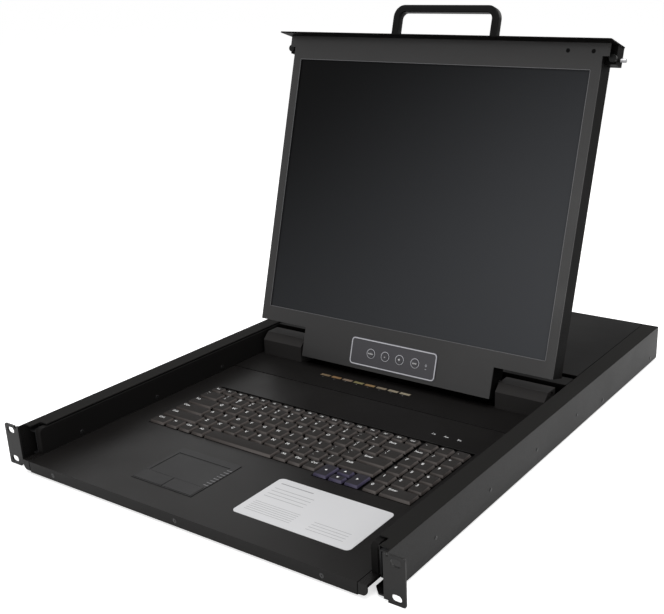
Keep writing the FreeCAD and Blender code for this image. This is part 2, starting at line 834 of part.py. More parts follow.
lamps = piece("indicator_lenses")
marks = []
for number in range(8):
    x = s.lamp_first + s.lamp_pitch * number
    marks.append(rect(x - s.lamp_half_x, s.lamp_row - s.lamp_half_y, x + s.lamp_half_x,
                      s.lamp_row + s.lamp_half_y))
extrude(lamps, "XY", deck_top, deck_top + s.mark_raise, marks)
marks = []
for number in range(3):
    x = s.lock_first + s.lock_pitch * number
    marks.append(rect(x - s.lock_half_x, s.lock_row - s.lock_half_y, x + s.lock_half_x,
                      s.lock_row + s.lock_half_y))
extrude(lamps, "XY", s.tray_top, s.tray_top + s.mark_raise, marks)

label = piece("info_label")
extrude(label, "XY", s.tray_top, s.tray_top + s.label_gauge,
        [rect(s.label_left, s.label_front, s.label_right, s.label_rear, s.label_corner)])

# Side brackets that tie the tray to the moving slide members

for word, side in SIDES.items():
    bracket = piece("side_bracket_" + word)
    strip = rect(s.tray_half, s.strip_low, s.strip_half, s.tray_top)
    extrude(bracket, "XZ", s.tray_front, s.tray_rear, [flip(side, strip)])
    tab = [
        (s.tray_half, s.tab_low),
        (s.strip_half, s.tab_low, s.tab_corner),
        (s.strip_half, s.strip_low),
        (s.tray_half, s.strip_low),
    ]
    extrude(bracket, "XZ", s.tray_front, s.tray_front + s.sheet_gauge, [flip(side, tab)])
    slab(bracket, side, s.strip_half - s.sheet_gauge, s.strip_half,
         [rect(s.inner_front, s.tray_top, s.inner_rear, s.bracket_top)])

# Rail covers: narrow boxes beside the keyboard well

rail_outer = s.strip_half - s.sheet_gauge
for word, side in SIDES.items():
    rail = piece("rail_cover_" + word)
    ends = [
        (s.rail_front, s.tray_top),
        (s.inner_rear, s.tray_top),
        (s.inner_rear, s.rail_top, 1.5),
        (s.rail_front, s.rail_top, s.rail_corner),
    ]
    slab(rail, side, s.rail_inner, rail_outer, [ends])
    block(rail, tuple(sorted((s.rail_inner * side + s.rail_wall * side, rail_outer * side - s.rail_wall * side),
                             key=lambda size: size.number)),
          (s.rail_front + s.rail_wall, s.inner_rear - s.rail_wall),
          (s.tray_top, s.rail_top - s.rail_corner), cut=True)

# Hinge blocks with their bores, and the cover behind them

for word, side in SIDES.items():
    mount = piece("hinge_block_" + word)
    profile = [
        (s.hinge_y - s.block_half_front, deck_top),
        (s.hinge_y - s.block_half_front, s.block_shoulder),
        (s.hinge_y - s.block_half_front + s.block_slope, s.block_top),
        (s.hinge_y + s.block_half_rear, s.block_top),
        (s.hinge_y + s.block_half_rear, deck_top),
    ]
    slab(mount, side, s.block_in, s.block_out, [profile])
    slab(mount, side, s.block_in, s.block_out,
         [("circle", s.hinge_y, s.hinge_z, s.shaft_radius + s.bore_play)], cut=True)

hood = piece("drawer_rear_cover")
block(hood, (-s.rear_cover_half, s.rear_cover_half), (s.rear_cover_front, s.tray_rear),
      (deck_top, s.rear_cover_top))
block(hood, (-s.rear_cover_half + s.tray_gauge, s.rear_cover_half - s.tray_gauge),
      (s.rear_cover_front + s.tray_gauge, s.tray_rear - s.tray_gauge),
      (deck_top, s.rear_cover_top - s.tray_gauge), cut=True)

# Keyboard rows, each given by key widths counted in key units


def row_runs(left, unit, front, rear, widths):
    """Runs of equal keys in one row: first key space and number of keys."""
    runs = []
    used = 0
    for width, count in widths:
        cell = (left + unit * used, front, left + unit * (used + width), rear)
        runs.append((cell, count))
        used = used + width * count
    return runs


def main_row(number):
    """Front and rear edge of a row of the main block, counted from the space bar."""
    front = s.keys_front + s.key_pitch * number
    return front, front + s.key_pitch


def key_spaces(runs):
    """Every key space of the runs, one after another."""
    return [(left + (right - left) * number, front, right + (right - left) * number, rear)
            for (left, front, right, rear), count in runs for number in range(count)]


def stem_squares(runs, half):
    """Squares for the stems: one under the middle of a key, two under a long bar."""
    squares = []
    for left, front, right, rear in key_spaces(runs):
        width = right - left
        long_bar = width.number > 3 * s.key_unit.number
        y = (front + rear) / 2
        for share in ((1, 3) if long_bar else (2,)):
            x = left + width * share / 4
            squares.append(rect(x - half, y - half, x + half, y + half))
    return squares


bottom_rear = main_row(0)[1]
after_space = s.keys_left + s.key_unit * 9.25
arrows = s.keys_left + s.key_unit * 12.25
arrow_split = (s.block_front + bottom_rear) / 2
arrow_runs = [
    ((arrows, s.block_front, arrows + s.key_unit, bottom_rear), 1),
    ((arrows + s.key_unit, s.block_front, arrows + s.key_unit * 2, arrow_split), 1),
    ((arrows + s.key_unit, arrow_split, arrows + s.key_unit * 2, bottom_rear), 1),
    ((arrows + s.key_unit * 2, s.block_front, arrows + s.key_unit * 3, bottom_rear), 1),
]
block_edges = [s.block_front + s.block_pitch * number for number in range(6)] + [s.keys_rear]
block_runs = row_runs(s.block_left, s.block_unit, block_edges[0], block_edges[1], [(1, 1), (2, 1)])
for number in range(1, 6):
    block_runs += row_runs(s.block_left, s.block_unit, block_edges[number], block_edges[number + 1], [(1, 3)])

left = s.keys_left
unit = s.key_unit
groups = {
    "keys_function_row": row_runs(left, unit * 15.25 / 17, main_row(5)[0], s.keys_rear, [(1, 17)]),
    "keys_number_row": row_runs(left, unit, *main_row(4), [(1.5, 1), (1, 12), (1.75, 1)]),
    "keys_top_row": row_runs(left, unit, *main_row(3), [(2, 1), (1, 12), (1.25, 1)]),
    "keys_home_row": row_runs(left, unit, *main_row(2), [(2.25, 1), (1, 11), (2, 1)]),
    "keys_shift_row": row_runs(left, unit, *main_row(1), [(2.75, 1), (1, 10), (2.5, 1)]),
    "keys_bottom_left": row_runs(left, unit, *main_row(0), [(1.25, 1), (1, 3)]),
    "space_bar": row_runs(left + unit * 4.25, unit, *main_row(0), [(5, 1)]),
    "keys_bottom_right": row_runs(after_space, unit, *main_row(0), [(1, 3)]),
    "arrow_keys": arrow_runs,
    "number_block": block_runs,
}


for name, runs in groups.items():
    keys = piece(name)
    inset = s.key_gap / 2
    caps = [rect(left + inset, front + inset, right - inset, rear - inset)
            for left, front, right, rear in key_spaces(runs)]
    extrude(keys, "XY", s.key_low, s.key_low + s.key_high, caps, taper=-s.key_taper)
    extrude(keys, "XY", s.stem_low, s.key_low, stem_squares(runs, s.stem_half))

# Keyboard base with a guide hole for every stem

base = piece("keyboard_base")
block(base, (opening_left - s.base_margin, opening_right + s.base_margin),
      (s.block_front - s.base_margin, s.keyboard_rear + s.base_margin), (pan_floor, s.base_top))
for runs in groups.values():
    extrude(base, "XY", pan_floor, s.base_top, stem_squares(runs, s.stem_half + s.stem_play), cut=True)

# Touchpad module and its two buttons

pad_top = s.tray_top + s.pad_raise
touch = piece("touchpad")
block(touch, (s.pad_left, s.pad_right), (s.pad_front, s.pad_rear), (pan_floor, pad_top))
block(touch, (s.touch_left, s.touch_right), (s.touch_front, s.touch_rear), (pad_top - s.touch_deep, pad_top),
      cut=True)
button_cells = {
    "left": (s.pad_left + s.button_edge, s.button_split - s.button_edge / 4),
    "right": (s.button_split + s.button_edge / 4, s.pad_right - s.button_edge),
}
button_front = s.pad_front + s.button_edge
button_rear = s.touch_front - s.button_edge
block(touch, (s.pad_left + s.button_edge - s.pad_play, s.pad_right - s.button_edge + s.pad_play),
      (button_front - s.pad_play, button_rear + s.pad_play), (s.button_floor, pad_top), cut=True)
for word, (left, right) in button_cells.items():
    button = piece("touchpad_button_" + word)
    block(button, (left, right), (button_front, button_rear), (s.button_low, pad_top + s.mark_raise))

# Display back shell: a tub with a tongue that reaches down to the hinge


def case_outline(inset):
    """Outline of the display case and its tongue, drawn in by an inset."""
    tongue = s.tongue_half - inset
    half = s.case_half - inset
    return [
        (-tongue, s.tongue_low + inset),
        (tongue, s.tongue_low + inset),
        (tongue, s.case_low + inset),
        (half, s.case_low + inset),
        (half, s.case_high - inset),
        (-half, s.case_high - inset),
        (-half, s.case_low + inset),
        (-tongue, s.case_low + inset),
    ]


shell_front = s.case_face + s.case_wall
shell = piece("lcd_back_shell", tilted=True)
extrude(shell, "XZ", shell_front, s.case_back, [case_outline(0)])
extrude(shell, "XZ", shell_front, s.case_back - s.case_wall, [case_outline(s.case_wall)], cut=True)
for side in SIDES.values():
    slab(shell, side, s.tongue_half - s.case_wall, s.tongue_half,
         [("circle", 0, 0, s.shaft_radius + s.bore_play)], cut=True)
    middle = s.case_half / 2 * side
    first = [rect(middle - s.vent_long / 2, s.vent_first, middle + s.vent_long / 2,
                  s.vent_first + s.vent_high)]
    vent = extrude(shell, "XZ", s.case_back - s.case_wall, s.case_back, first, cut=True)
    repeat(shell, vent, "Z_Axis", s.vent_pitch, 6)

# Display bezel: wider at the head, with the picture window

bezel = piece("lcd_bezel", tilted=True)
bezel_outline = [
    (-s.tongue_half, s.tongue_low),
    (s.tongue_half, s.tongue_low),
    (s.tongue_half, s.case_low),
    (s.case_half, s.case_low),
    (s.case_half, s.head_low),
    (s.head_half, s.head_low),
    (s.head_half, s.case_high),
    (-s.head_half, s.case_high),
    (-s.head_half, s.head_low),
    (-s.case_half, s.head_low),
    (-s.case_half, s.case_low),
    (-s.tongue_half, s.case_low),
]
extrude(bezel, "XZ", s.case_face, shell_front, [bezel_outline])
osd_spots = [-30, -10, 10, 31]
openings = [rect(-s.window_half, s.window_low, s.window_half, s.window_high)]
for x in osd_spots:
    openings.append(("circle", x, s.osd_button_row, s.osd_button_radius + s.osd_button_play))
extrude(bezel, "XZ", s.case_face, shell_front, openings, cut=True)

screen = piece("lcd_panel", tilted=True)
extrude(screen, "XZ", shell_front, s.panel_back,
        [rect(-s.window_half - s.panel_edge, s.window_low - s.panel_edge,
              s.window_half + s.panel_edge, s.window_high + s.panel_edge)])

# Control strip on the tongue, with four keys and a lamp

strip = piece("osd_panel", tilted=True)
strip_front = s.case_face - s.osd_gauge
extrude(strip, "XZ", strip_front, s.case_face, [rect(-s.osd_half, s.osd_low, s.osd_half, s.osd_high, s.osd_corner)])
extrude(strip, "XZ", strip_front, s.case_face,
        [("circle", x, s.osd_button_row, s.osd_button_radius + s.osd_button_play) for x in osd_spots], cut=True)
extrude(strip, "XZ", strip_front - s.mark_raise, strip_front,
        [("circle", s.osd_lamp_x, s.osd_button_row, s.osd_lamp_radius)])
for number, x in enumerate(osd_spots, start=1):
    key = piece("osd_button_%d" % number, tilted=True)
    extrude(key, "XZ", strip_front - s.osd_button_high, shell_front,
            [("circle", x, s.osd_button_row, s.osd_button_radius)])

# Front plate and pull handle on the head of the display

plate_top = s.case_high + s.plate_gauge
plate = piece("front_plate", tilted=True)
extrude(plate, "XY", s.case_high, plate_top,
        [rect(-s.plate_half, s.plate_front, s.plate_half, s.case_back, s.plate_corner)])

handle = piece("handle", tilted=True)
inner_half = s.handle_half - s.handle_bar
inner_top = s.handle_top - s.handle_bar
arch = [
    (-s.handle_half, plate_top),
    (-inner_half, plate_top),
    (-inner_half, inner_top, s.handle_bend_in),
    (inner_half, inner_top, s.handle_bend_in),
    (inner_half, plate_top),
    (s.handle_half, plate_top),
    (s.handle_half, s.handle_top, s.handle_bend),
    (-s.handle_half, s.handle_top, s.handle_bend),
]
extrude(handle, "XZ", s.handle_middle - s.handle_deep / 2, s.handle_middle + s.handle_deep / 2, [arch])

# Hinge shafts with the leaves that hold them to the back shell

shafts = piece("hinge_shafts", tilted=True)
for side in SIDES.values():
    slab(shafts, side, s.shaft_in, s.shaft_out, [("circle", 0, 0, s.shaft_radius)])
    slab(shafts, side, s.shaft_in, s.leaf_out,
         [rect(0, -s.shaft_radius, s.case_back - s.case_wall, s.case_low + s.shaft_radius * 4)])

# Corner blocks and the release latches that slide in them

corners = piece("latch_blocks", tilted=True)
for side in SIDES.values():
    outline = [(s.case_half, s.latch_block_low), (s.latch_block_out, s.latch_block_low),
               (s.latch_block_out, s.case_high), (s.case_half, s.case_high)]
    extrude(corners, "XZ", s.latch_block_face, s.case_back, [flip(side, outline)])
    neck_high = s.latch_radius * 2 + s.latch_neck_play * 2
    middle = s.latch_knob_x - s.latch_travel / 2
    extrude(corners, "XZ", s.latch_block_face, s.latch_depth + neck_high / 2,
            [("slot", middle * side, s.latch_high, s.latch_travel + neck_high, neck_high)], cut=True)
    slab(corners, side, s.latch_in - s.latch_travel - s.latch_neck_play, s.latch_block_out,
         [("circle", s.latch_depth, s.latch_high, s.latch_radius + s.bore_play)], cut=True)

for word, side in SIDES.items():
    latch = piece("latch_" + word, tilted=True)
    slab(latch, side, s.latch_in, s.latch_out, [("circle", s.latch_depth, s.latch_high, s.latch_radius)])
    knob_back = s.latch_block_face - s.latch_knob_lift
    extrude(latch, "XZ", knob_back, s.latch_depth,
            [("circle", s.latch_knob_x * side, s.latch_high, s.latch_radius)])
    extrude(latch, "XZ", knob_back - s.latch_knob_high, knob_back,
            [("circle", s.latch_knob_x * side, s.latch_high, s.latch_knob_radius)])

# Checks, then one file for each sub-part

doc.recompute()
for item in doc.Objects:
    if "Invalid" in item.State or "Error" in item.State:
        raise RuntimeError("object %s is in state %s" % (item.Name, item.State))
os.makedirs("parts", exist_ok=True)
for body in pieces:
    shape = body.Shape
    if shape.isNull() or not shape.isValid() or shape.Volume <= 0:
        raise RuntimeError("sub-part %s has no sound shape" % body.Label)
for body in pieces:
    body.Shape.exportStep("parts/%s.step" % body.Label)
print(len(pieces), "sub-parts written")
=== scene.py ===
# %% [markdown]
# A rack console drawer: a shallow black steel tray that slides out of a server
# rack, with a keyboard and a touchpad on it and a screen that folds up from
# the back. The CAD model gives every solid its place. It could be modelled
# again in Blender, but then two models would have to agree, so this script
# loads the CAD frame and adds only what paint, print and light do: finishes,
# softened edges, key legends, screw heads, small marks and a plain studio.

import json
import math

import bmesh
import bpy
from mathutils import Matrix, Vector

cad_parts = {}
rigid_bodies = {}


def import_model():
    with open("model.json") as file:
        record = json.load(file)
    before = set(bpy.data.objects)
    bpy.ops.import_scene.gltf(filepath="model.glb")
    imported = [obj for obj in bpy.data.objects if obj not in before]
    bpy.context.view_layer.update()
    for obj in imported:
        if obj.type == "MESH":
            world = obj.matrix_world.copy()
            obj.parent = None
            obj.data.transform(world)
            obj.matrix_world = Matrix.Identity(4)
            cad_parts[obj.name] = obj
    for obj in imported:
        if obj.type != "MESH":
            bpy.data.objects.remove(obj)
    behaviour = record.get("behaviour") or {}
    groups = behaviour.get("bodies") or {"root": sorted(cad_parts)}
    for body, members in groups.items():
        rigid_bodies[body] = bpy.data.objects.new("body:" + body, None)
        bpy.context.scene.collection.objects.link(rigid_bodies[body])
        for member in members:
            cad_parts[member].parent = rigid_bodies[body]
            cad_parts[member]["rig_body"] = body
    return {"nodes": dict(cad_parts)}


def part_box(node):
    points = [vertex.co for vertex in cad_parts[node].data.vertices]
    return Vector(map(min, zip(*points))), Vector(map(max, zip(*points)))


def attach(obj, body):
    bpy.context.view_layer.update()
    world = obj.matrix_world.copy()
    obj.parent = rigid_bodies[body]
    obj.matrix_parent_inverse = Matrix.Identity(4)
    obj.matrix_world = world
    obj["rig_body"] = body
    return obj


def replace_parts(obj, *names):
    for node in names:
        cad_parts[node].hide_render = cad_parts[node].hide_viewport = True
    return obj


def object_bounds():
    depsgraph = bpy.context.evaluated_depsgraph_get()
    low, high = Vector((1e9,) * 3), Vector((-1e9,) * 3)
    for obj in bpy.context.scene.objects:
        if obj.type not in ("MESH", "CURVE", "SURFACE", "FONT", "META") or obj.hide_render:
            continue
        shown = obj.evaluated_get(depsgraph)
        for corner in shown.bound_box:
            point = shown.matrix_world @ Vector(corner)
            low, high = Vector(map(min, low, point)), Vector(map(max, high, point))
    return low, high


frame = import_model()
NODES = frame["nodes"]
cad_low, cad_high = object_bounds()

# %% [markdown]
# A maker measures such a drawer in millimetres, and builds the display upright
# before it is tilted. Blender works in metres, so every number could be
# written as a small decimal fraction, which is hard to read. Two helpers are
# clearer: one turns millimetres into metres, the other puts a point of the
# upright display where the tilted display stands.

# %% Millimetres and the tilt of the display
MM = 0.001
HINGE_Y = 356.8
HINGE_Z = 15.0
TILT = math.radians(16.6)


def at(x, y, z):
    """A point given in millimetres, in metres."""
    return Vector((x, y, z)) * MM


def stand():
    """Turns the upright display about its hinge to the angle it is left open at."""
    return (Matrix.Translation(at(0, HINGE_Y, HINGE_Z))
            @ Matrix.Rotation(-TILT, 4, "X"))


print("display tilt", round(math.degrees(TILT), 1))

# %% [markdown]
# Powder coat and moulded plastic show tiny irregularities: a fine grain, and
# patches that are a little duller than others. An image texture could bring
# them, but it needs unwrapping and ends at its pixels. One node group of two
# noises serves every finish instead. It is built once and used with different
# numbers, so that the finishes stay related.

# %% The grain group
def put(node, values):
    """Plain values on a node's own sockets."""
    for label, value in values.items():
        node.inputs[label].default_value = value


def grain_group():
    tree = bpy.data.node_groups.new("surface_grain", "ShaderNodeTree")
    face = tree.interface
    for label, value in (("Grain per metre", 2500.0), ("Dull low", 0.4), ("Dull high", 0.5)):
        socket = face.new_socket(name=label, in_out="INPUT", socket_type="NodeSocketFloat")
        socket.default_value = value
    for label in ("Height", "Roughness", "Patches"):
        face.new_socket(name=label, in_out="OUTPUT", socket_type="NodeSocketFloat")
    nodes, links = tree.nodes, tree.links
    start = nodes.new("NodeGroupInput")
    end = nodes.new("NodeGroupOutput")
    place = nodes.new("ShaderNodeTexCoord")
    fine = nodes.new("ShaderNodeTexNoise")
    put(fine, {"Detail": 2.0})
    links.new(place.outputs["Object"], fine.inputs["Vector"])
    links.new(start.outputs["Grain per metre"], fine.inputs["Scale"])
    slow = nodes.new("ShaderNodeTexNoise")
    put(slow, {"Scale": 14.0, "Detail": 4.0})
    links.new(place.outputs["Object"], slow.inputs["Vector"])
    both = nodes.new("ShaderNodeMath")
    links.new(slow.outputs["Fac"], both.inputs[0])
    links.new(fine.outputs["Fac"], both.inputs[1])
    dull = nodes.new("ShaderNodeMapRange")
    put(dull, {"From Min": 0.75, "From Max": 1.25})
    links.new(both.outputs["Value"], dull.inputs["Value"])
    links.new(start.outputs["Dull low"], dull.inputs["To Min"])
    links.new(start.outputs["Dull high"], dull.inputs["To Max"])
    links.new(fine.outputs["Fac"], end.inputs["Height"])
    links.new(dull.outputs["Result"], end.inputs["Roughness"])
    links.new(slow.outputs["Fac"], end.inputs["Patches"])
    return tree


GRAIN = grain_group()
print("group", GRAIN.name)

# %% [markdown]
# The drawer is almost all black, yet each part has its own black: coated
# steel, bare cover, moulded plastic, key plastic. Each could be a node tree of
# its own. A helper that builds the same tree from a few numbers keeps them
# comparable. Plain numbers go on the shader's own sockets. Only what changes
# over the surface comes through the group: two shades of the colour, the
# dullness and the bumps.

# %% A finish from a few numbers
MIX_FIRST, MIX_SECOND, MIX_RESULT = 6, 7, 2  # the colour sockets of a Mix node
BUMP_DEEP = 0.1 * MM


def new_material(name):
    """A new material with its nodes, its links and its shader."""
    material = bpy.data.materials.new(name)
    material.use_nodes = True
    nodes, links = material.node_tree.nodes, material.node_tree.links
    return material, nodes, links, nodes["Principled BSDF"]


def mixed(nodes, links, factor, first, second):
    """One colour that turns into another while the factor goes from 0 to 1."""
    mix = nodes.new("ShaderNodeMix")
    mix.data_type = "RGBA"
    put(mix, {MIX_FIRST: (*first, 1), MIX_SECOND: (*second, 1)})
    links.new(factor, mix.inputs["Factor"])
    return mix.outputs[MIX_RESULT]


def finish(name, colour, darker=0.8, dull=(0.4, 0.5), grain=2500.0, bump=0.1, metal=0.0,
           spec=0.5):
    """A grained finish: dull gives the least and the most roughness."""
    material, nodes, links, shader = new_material(name)
    put(shader, {"Metallic": metal, "Specular IOR Level": spec})
    grained = nodes.new("ShaderNodeGroup")
    grained.node_tree = GRAIN
    put(grained, {"Grain per metre": grain, "Dull low": dull[0], "Dull high": dull[1]})
    shadow = [part * darker for part in colour]
    shades = mixed(nodes, links, grained.outputs["Patches"], shadow, colour)
    links.new(shades, shader.inputs["Base Color"])
    links.new(grained.outputs["Roughness"], shader.inputs["Roughness"])
    raised = nodes.new("ShaderNodeBump")
    put(raised, {"Strength": bump, "Distance": BUMP_DEEP})
    links.new(grained.outputs["Height"], raised.inputs["Height"])
    links.new(raised.outputs["Normal"], shader.inputs["Normal"])
    return material


print("colour sockets of a mix", MIX_FIRST, MIX_SECOND, MIX_RESULT)

# %% [markdown]
# The parts fall into families: powder coated sheet, plainer coated covers, key
# plastic, smooth plastic, bare metals, and white or grey print. Their finishes
# could be typed in full, but then nobody would see what two blacks have in
# common. What a family shares is written once, and each line adds the colour
# and what is its own.

# %% The table of finishes
COATED = {"grain": 1300.0, "bump": 0.5}
PLAIN = {"grain": 1300.0, "bump": 0.4}
KEYCAP = {"dull": (0.40, 0.5), "grain": 2600.0, "bump": 0.15, "spec": 0.28}
POWDER = finish("powder_black", (0.0068, 0.0062, 0.0060), dull=(0.20, 0.34), spec=0.18, **COATED)
WALLS = finish("powder_black_walls", (0.0095, 0.0090, 0.0088), dull=(0.22, 0.36), spec=0.15,
               **COATED)
EARS = finish("powder_black_ears", (0.0100, 0.0095, 0.0093), dull=(0.26, 0.40), spec=0.3, **COATED)
BEZEL = finish("bezel_black", (0.0165, 0.0158, 0.0158), dull=(0.30, 0.44), spec=0.36, **COATED)
TRAY = finish("tray_black", (0.0085, 0.0078, 0.0075), dull=(0.30, 0.44), spec=0.14, **COATED)
COVER = finish("cover_black", (0.0048, 0.0045, 0.0044), dull=(0.38, 0.5), spec=0.02, **PLAIN)
RAILS = finish("rail_cover_black", (0.0095, 0.0090, 0.0088), dull=(0.38, 0.5), spec=0.03, **PLAIN)
DECK = finish("deck_black", (0.0070, 0.0064, 0.0062), dull=(0.42, 0.54), spec=0.09, **PLAIN)
HINGES = finish("hinge_block_black", (0.026, 0.0245, 0.024), dull=(0.5, 0.6), spec=0.06, **PLAIN)
KEYS = finish("key_plastic", (0.082, 0.071, 0.066), **KEYCAP)
ARROWS = finish("arrow_key_plastic", (0.058, 0.050, 0.092), **KEYCAP)
MOULDED = finish("moulded_black", (0.010, 0.0097, 0.0100), dull=(0.42, 0.54), grain=1700.0,
                 bump=0.4, spec=0.24)
ROCKER = finish("rocker_black", (0.012, 0.012, 0.012), dull=(0.18, 0.24), bump=0.02)
SLIDE = finish("slide_dark", (0.020, 0.020, 0.021), dull=(0.34, 0.44), metal=0.3, bump=0.08,
               spec=0.3)
ZINC = finish("zinc_steel", (0.55, 0.56, 0.57), darker=0.85, dull=(0.3, 0.42), metal=1.0, bump=0.05)
SHAFT = finish("shaft_dark", (0.035, 0.034, 0.034), dull=(0.3, 0.4), metal=0.6, bump=0.04)
NICKEL = finish("port_metal", (0.6, 0.6, 0.6), dull=(0.22, 0.3), metal=1.0, bump=0.03)
PIN = finish("pin_steel", (0.72, 0.72, 0.73), dull=(0.14, 0.2), metal=1.0, bump=0.02)
BOARD = finish("board_green", (0.02, 0.12, 0.05), dull=(0.35, 0.42), bump=0.1)
LABEL = finish("label_white", (0.58, 0.58, 0.59), darker=0.97, dull=(0.36, 0.42), grain=900.0,
               bump=0.03)
HANDLE = finish("handle_black", (0.008, 0.008, 0.008), dull=(0.26, 0.34), grain=900.0,
                bump=0.05, spec=0.05)
STRIP = finish("strip_dark", (0.028, 0.0265, 0.033), dull=(0.34, 0.4), grain=1800.0, bump=0.08)
SILVER = finish("button_grey", (0.60, 0.60, 0.64), dull=(0.34, 0.4), bump=0.03)
PRINT = finish("white_print", (0.88, 0.88, 0.88), darker=0.95, dull=(0.5, 0.55), bump=0.02)
FAINT = finish("faint_print", (0.26, 0.26, 0.27), darker=0.95, dull=(0.5, 0.55), bump=0.02)
SCREW = finish("screw_black", (0.011, 0.011, 0.0115), dull=(0.22, 0.28), bump=0.03)
# Near-black painted shade, for openings and for the keyboard base between the keys.
PAINTED_HOLE_SHADE = finish("hole_painted_shade", (0.002, 0.002, 0.002), dull=(0.7, 0.8), bump=0.0, spec=0.1)
print("finishes", len(bpy.data.materials))

# %% [markdown]
# The flanges on top of the two walls are made duller and darker than the sides,
# and so are the tops of the keys: a key top is textured and duller, while its
# sloped sides are smooth. The darker colour of these tops is painted shade, for
# tops that catch less light than the sides. Separate materials for single faces
# would do, but the loose CAD faces would have to be picked out. The height of a
# point tells top from side just as well, because the finishes already read each
# point's place.

# %% Duller tops of walls and keys, with painted shade
def place_of_point(nodes, links):
    """Outputs X, Y and Z: where a point lies in the object, in metres."""
    place = nodes.new("ShaderNodeTexCoord")
    split = nodes.new("ShaderNodeSeparateXYZ")
    links.new(place.outputs["Object"], split.inputs["Vector"])
    return split.outputs


def ranged(nodes, links, value, low, high, most=1.0):
    """A mask that goes from 0 to most while the value goes from low to high, in millimetres."""
    mask = nodes.new("ShaderNodeMapRange")
    put(mask, {"From Min": low * MM, "From Max": high * MM, "To Max": most})
    links.new(value, mask.inputs["Value"])
    return mask.outputs["Result"]


def duller_with_painted_shade_above(material, start, end, roughness, colour):
    """Between two heights, in millimetres, a finish turns duller, and darker with painted shade."""
    nodes, links = material.node_tree.nodes, material.node_tree.links
    shader = nodes["Principled BSDF"]
    upper = ranged(nodes, links, place_of_point(nodes, links)["Z"], start, end)
    dull = nodes.new("ShaderNodeMix")
    put(dull, {"B": roughness})
    links.new(upper, dull.inputs["Factor"])
    links.new(shader.inputs["Roughness"].links[0].from_socket, dull.inputs["A"])
    links.new(dull.outputs["Result"], shader.inputs["Roughness"])
    # Painted shade: the base colour turns into the darker shade colour above the start height.
    shade = nodes.new("ShaderNodeMix")
    shade.data_type = "RGBA"
    put(shade, {MIX_SECOND: (*colour, 1)})
    links.new(upper, shade.inputs["Factor"])
    links.new(shader.inputs["Base Color"].links[0].from_socket, shade.inputs[MIX_FIRST])
    links.new(shade.outputs[MIX_RESULT], shader.inputs["Base Color"])


SHADED_FLANGE = (20.9, 21.3)
SHADED_KEY_TOP = (-5.35, -4.95)
# Painted shade: the colours below darken the wall flanges and the key tops.
duller_with_painted_shade_above(WALLS, *SHADED_FLANGE, 0.95, (0.0075, 0.0071, 0.0066))
duller_with_painted_shade_above(KEYS, *SHADED_KEY_TOP, 0.85, (0.0115, 0.0098, 0.0090))
duller_with_painted_shade_above(ARROWS, *SHADED_KEY_TOP, 0.85, (0.0115, 0.0100, 0.0150))
print("flange from", SHADED_FLANGE[0], "mm, key top from", SHADED_KEY_TOP[0], "mm")

# %% [markdown]
# The screen is a dark panel behind an anti-glare film. It is painted nearly
# black in one corner and a little bluer and lighter towards the opposite one:
# a painted reflection. A reflected lamp could give that, but it would slide when
# the view turns. A smooth ramp over the panel's own place stays put, and a low
# specular level keeps the real reflection soft.

# %% The screen finish, with a painted reflection
SCREEN_HALF, SCREEN_FOOT, SCREEN_HEAD = 190, 50, 340


def screen_with_painted_reflection():
    material, nodes, links, shader = new_material("screen_glass")
    put(shader, {"Roughness": 0.3, "Specular IOR Level": 0.05})
    place = place_of_point(nodes, links)
    both = nodes.new("ShaderNodeMath")
    links.new(ranged(nodes, links, place["X"], -SCREEN_HALF, SCREEN_HALF, 0.5), both.inputs[0])
    links.new(ranged(nodes, links, place["Z"], SCREEN_HEAD, SCREEN_FOOT, 0.5), both.inputs[1])
    ramp = nodes.new("ShaderNodeValToRGB")
    ramp.color_ramp.interpolation = "EASE"
    # Painted reflection: from nearly black to a lighter, bluer grey across the panel.
    ramp.color_ramp.elements[0].color = (0.0022, 0.0022, 0.0024, 1)
    ramp.color_ramp.elements[1].color = (0.044, 0.046, 0.050, 1)
    links.new(both.outputs["Value"], ramp.inputs["Fac"])
    links.new(ramp.outputs["Color"], shader.inputs["Base Color"])
    return material


SCREEN = screen_with_painted_reflection()
print("finish", SCREEN.name)

# %% [markdown]
# Eight small lamp windows stand in a row on the rear deck, each with its own
# warm tint, and three plain lock marks further right. They are one solid, so
# eight materials would need eight groups of faces. A ramp with hard steps
# along the row gives every window its tint in one material, and its last step
# is the plain tone of the lock marks.

# %% The lamp windows
LAMP_FIRST = -83.5
LAMP_PITCH = 16.14
TINTS = [
    (0.18, 0.13, 0.08), (0.23, 0.14, 0.07), (0.20, 0.15, 0.11), (0.20, 0.175, 0.085),
    (0.25, 0.165, 0.08), (0.22, 0.18, 0.13), (0.27, 0.23, 0.17), (0.30, 0.26, 0.19),
    (0.020, 0.020, 0.021),
]


def lamp_finish():
    material, nodes, links, shader = new_material("lens_clear")
    put(shader, {"Roughness": 0.22, "Coat Weight": 0.4})
    start = LAMP_FIRST - LAMP_PITCH / 2
    end = start + LAMP_PITCH * len(TINTS)
    along = ranged(nodes, links, place_of_point(nodes, links)["X"], start, end)
    ramp = nodes.new("ShaderNodeValToRGB")
    ramp.color_ramp.interpolation = "CONSTANT"
    stops = ramp.color_ramp.elements
    stops[1].position = 1 / len(TINTS)
    for number, tint in enumerate(TINTS):
        stop = stops[number] if number < 2 else stops.new(number / len(TINTS))
        stop.color = (*tint, 1)
    links.new(along, ramp.inputs["Fac"])
    links.new(ramp.outputs["Color"], shader.inputs["Base Color"])
    return material


LAMPS = lamp_finish()
print("lamp tints", len(TINTS) - 1)

# %% [markdown]
# A latch is one turned piece: a black knob, and a bright pin that looks out at
# the side. Two materials could be split at the edge between them. How far out
# a point lies decides it here with a single number, and the same mask makes
# the pin a metal.

# %% The latch finish
PIN_FROM, PIN_FULL = 213.5, 214.0


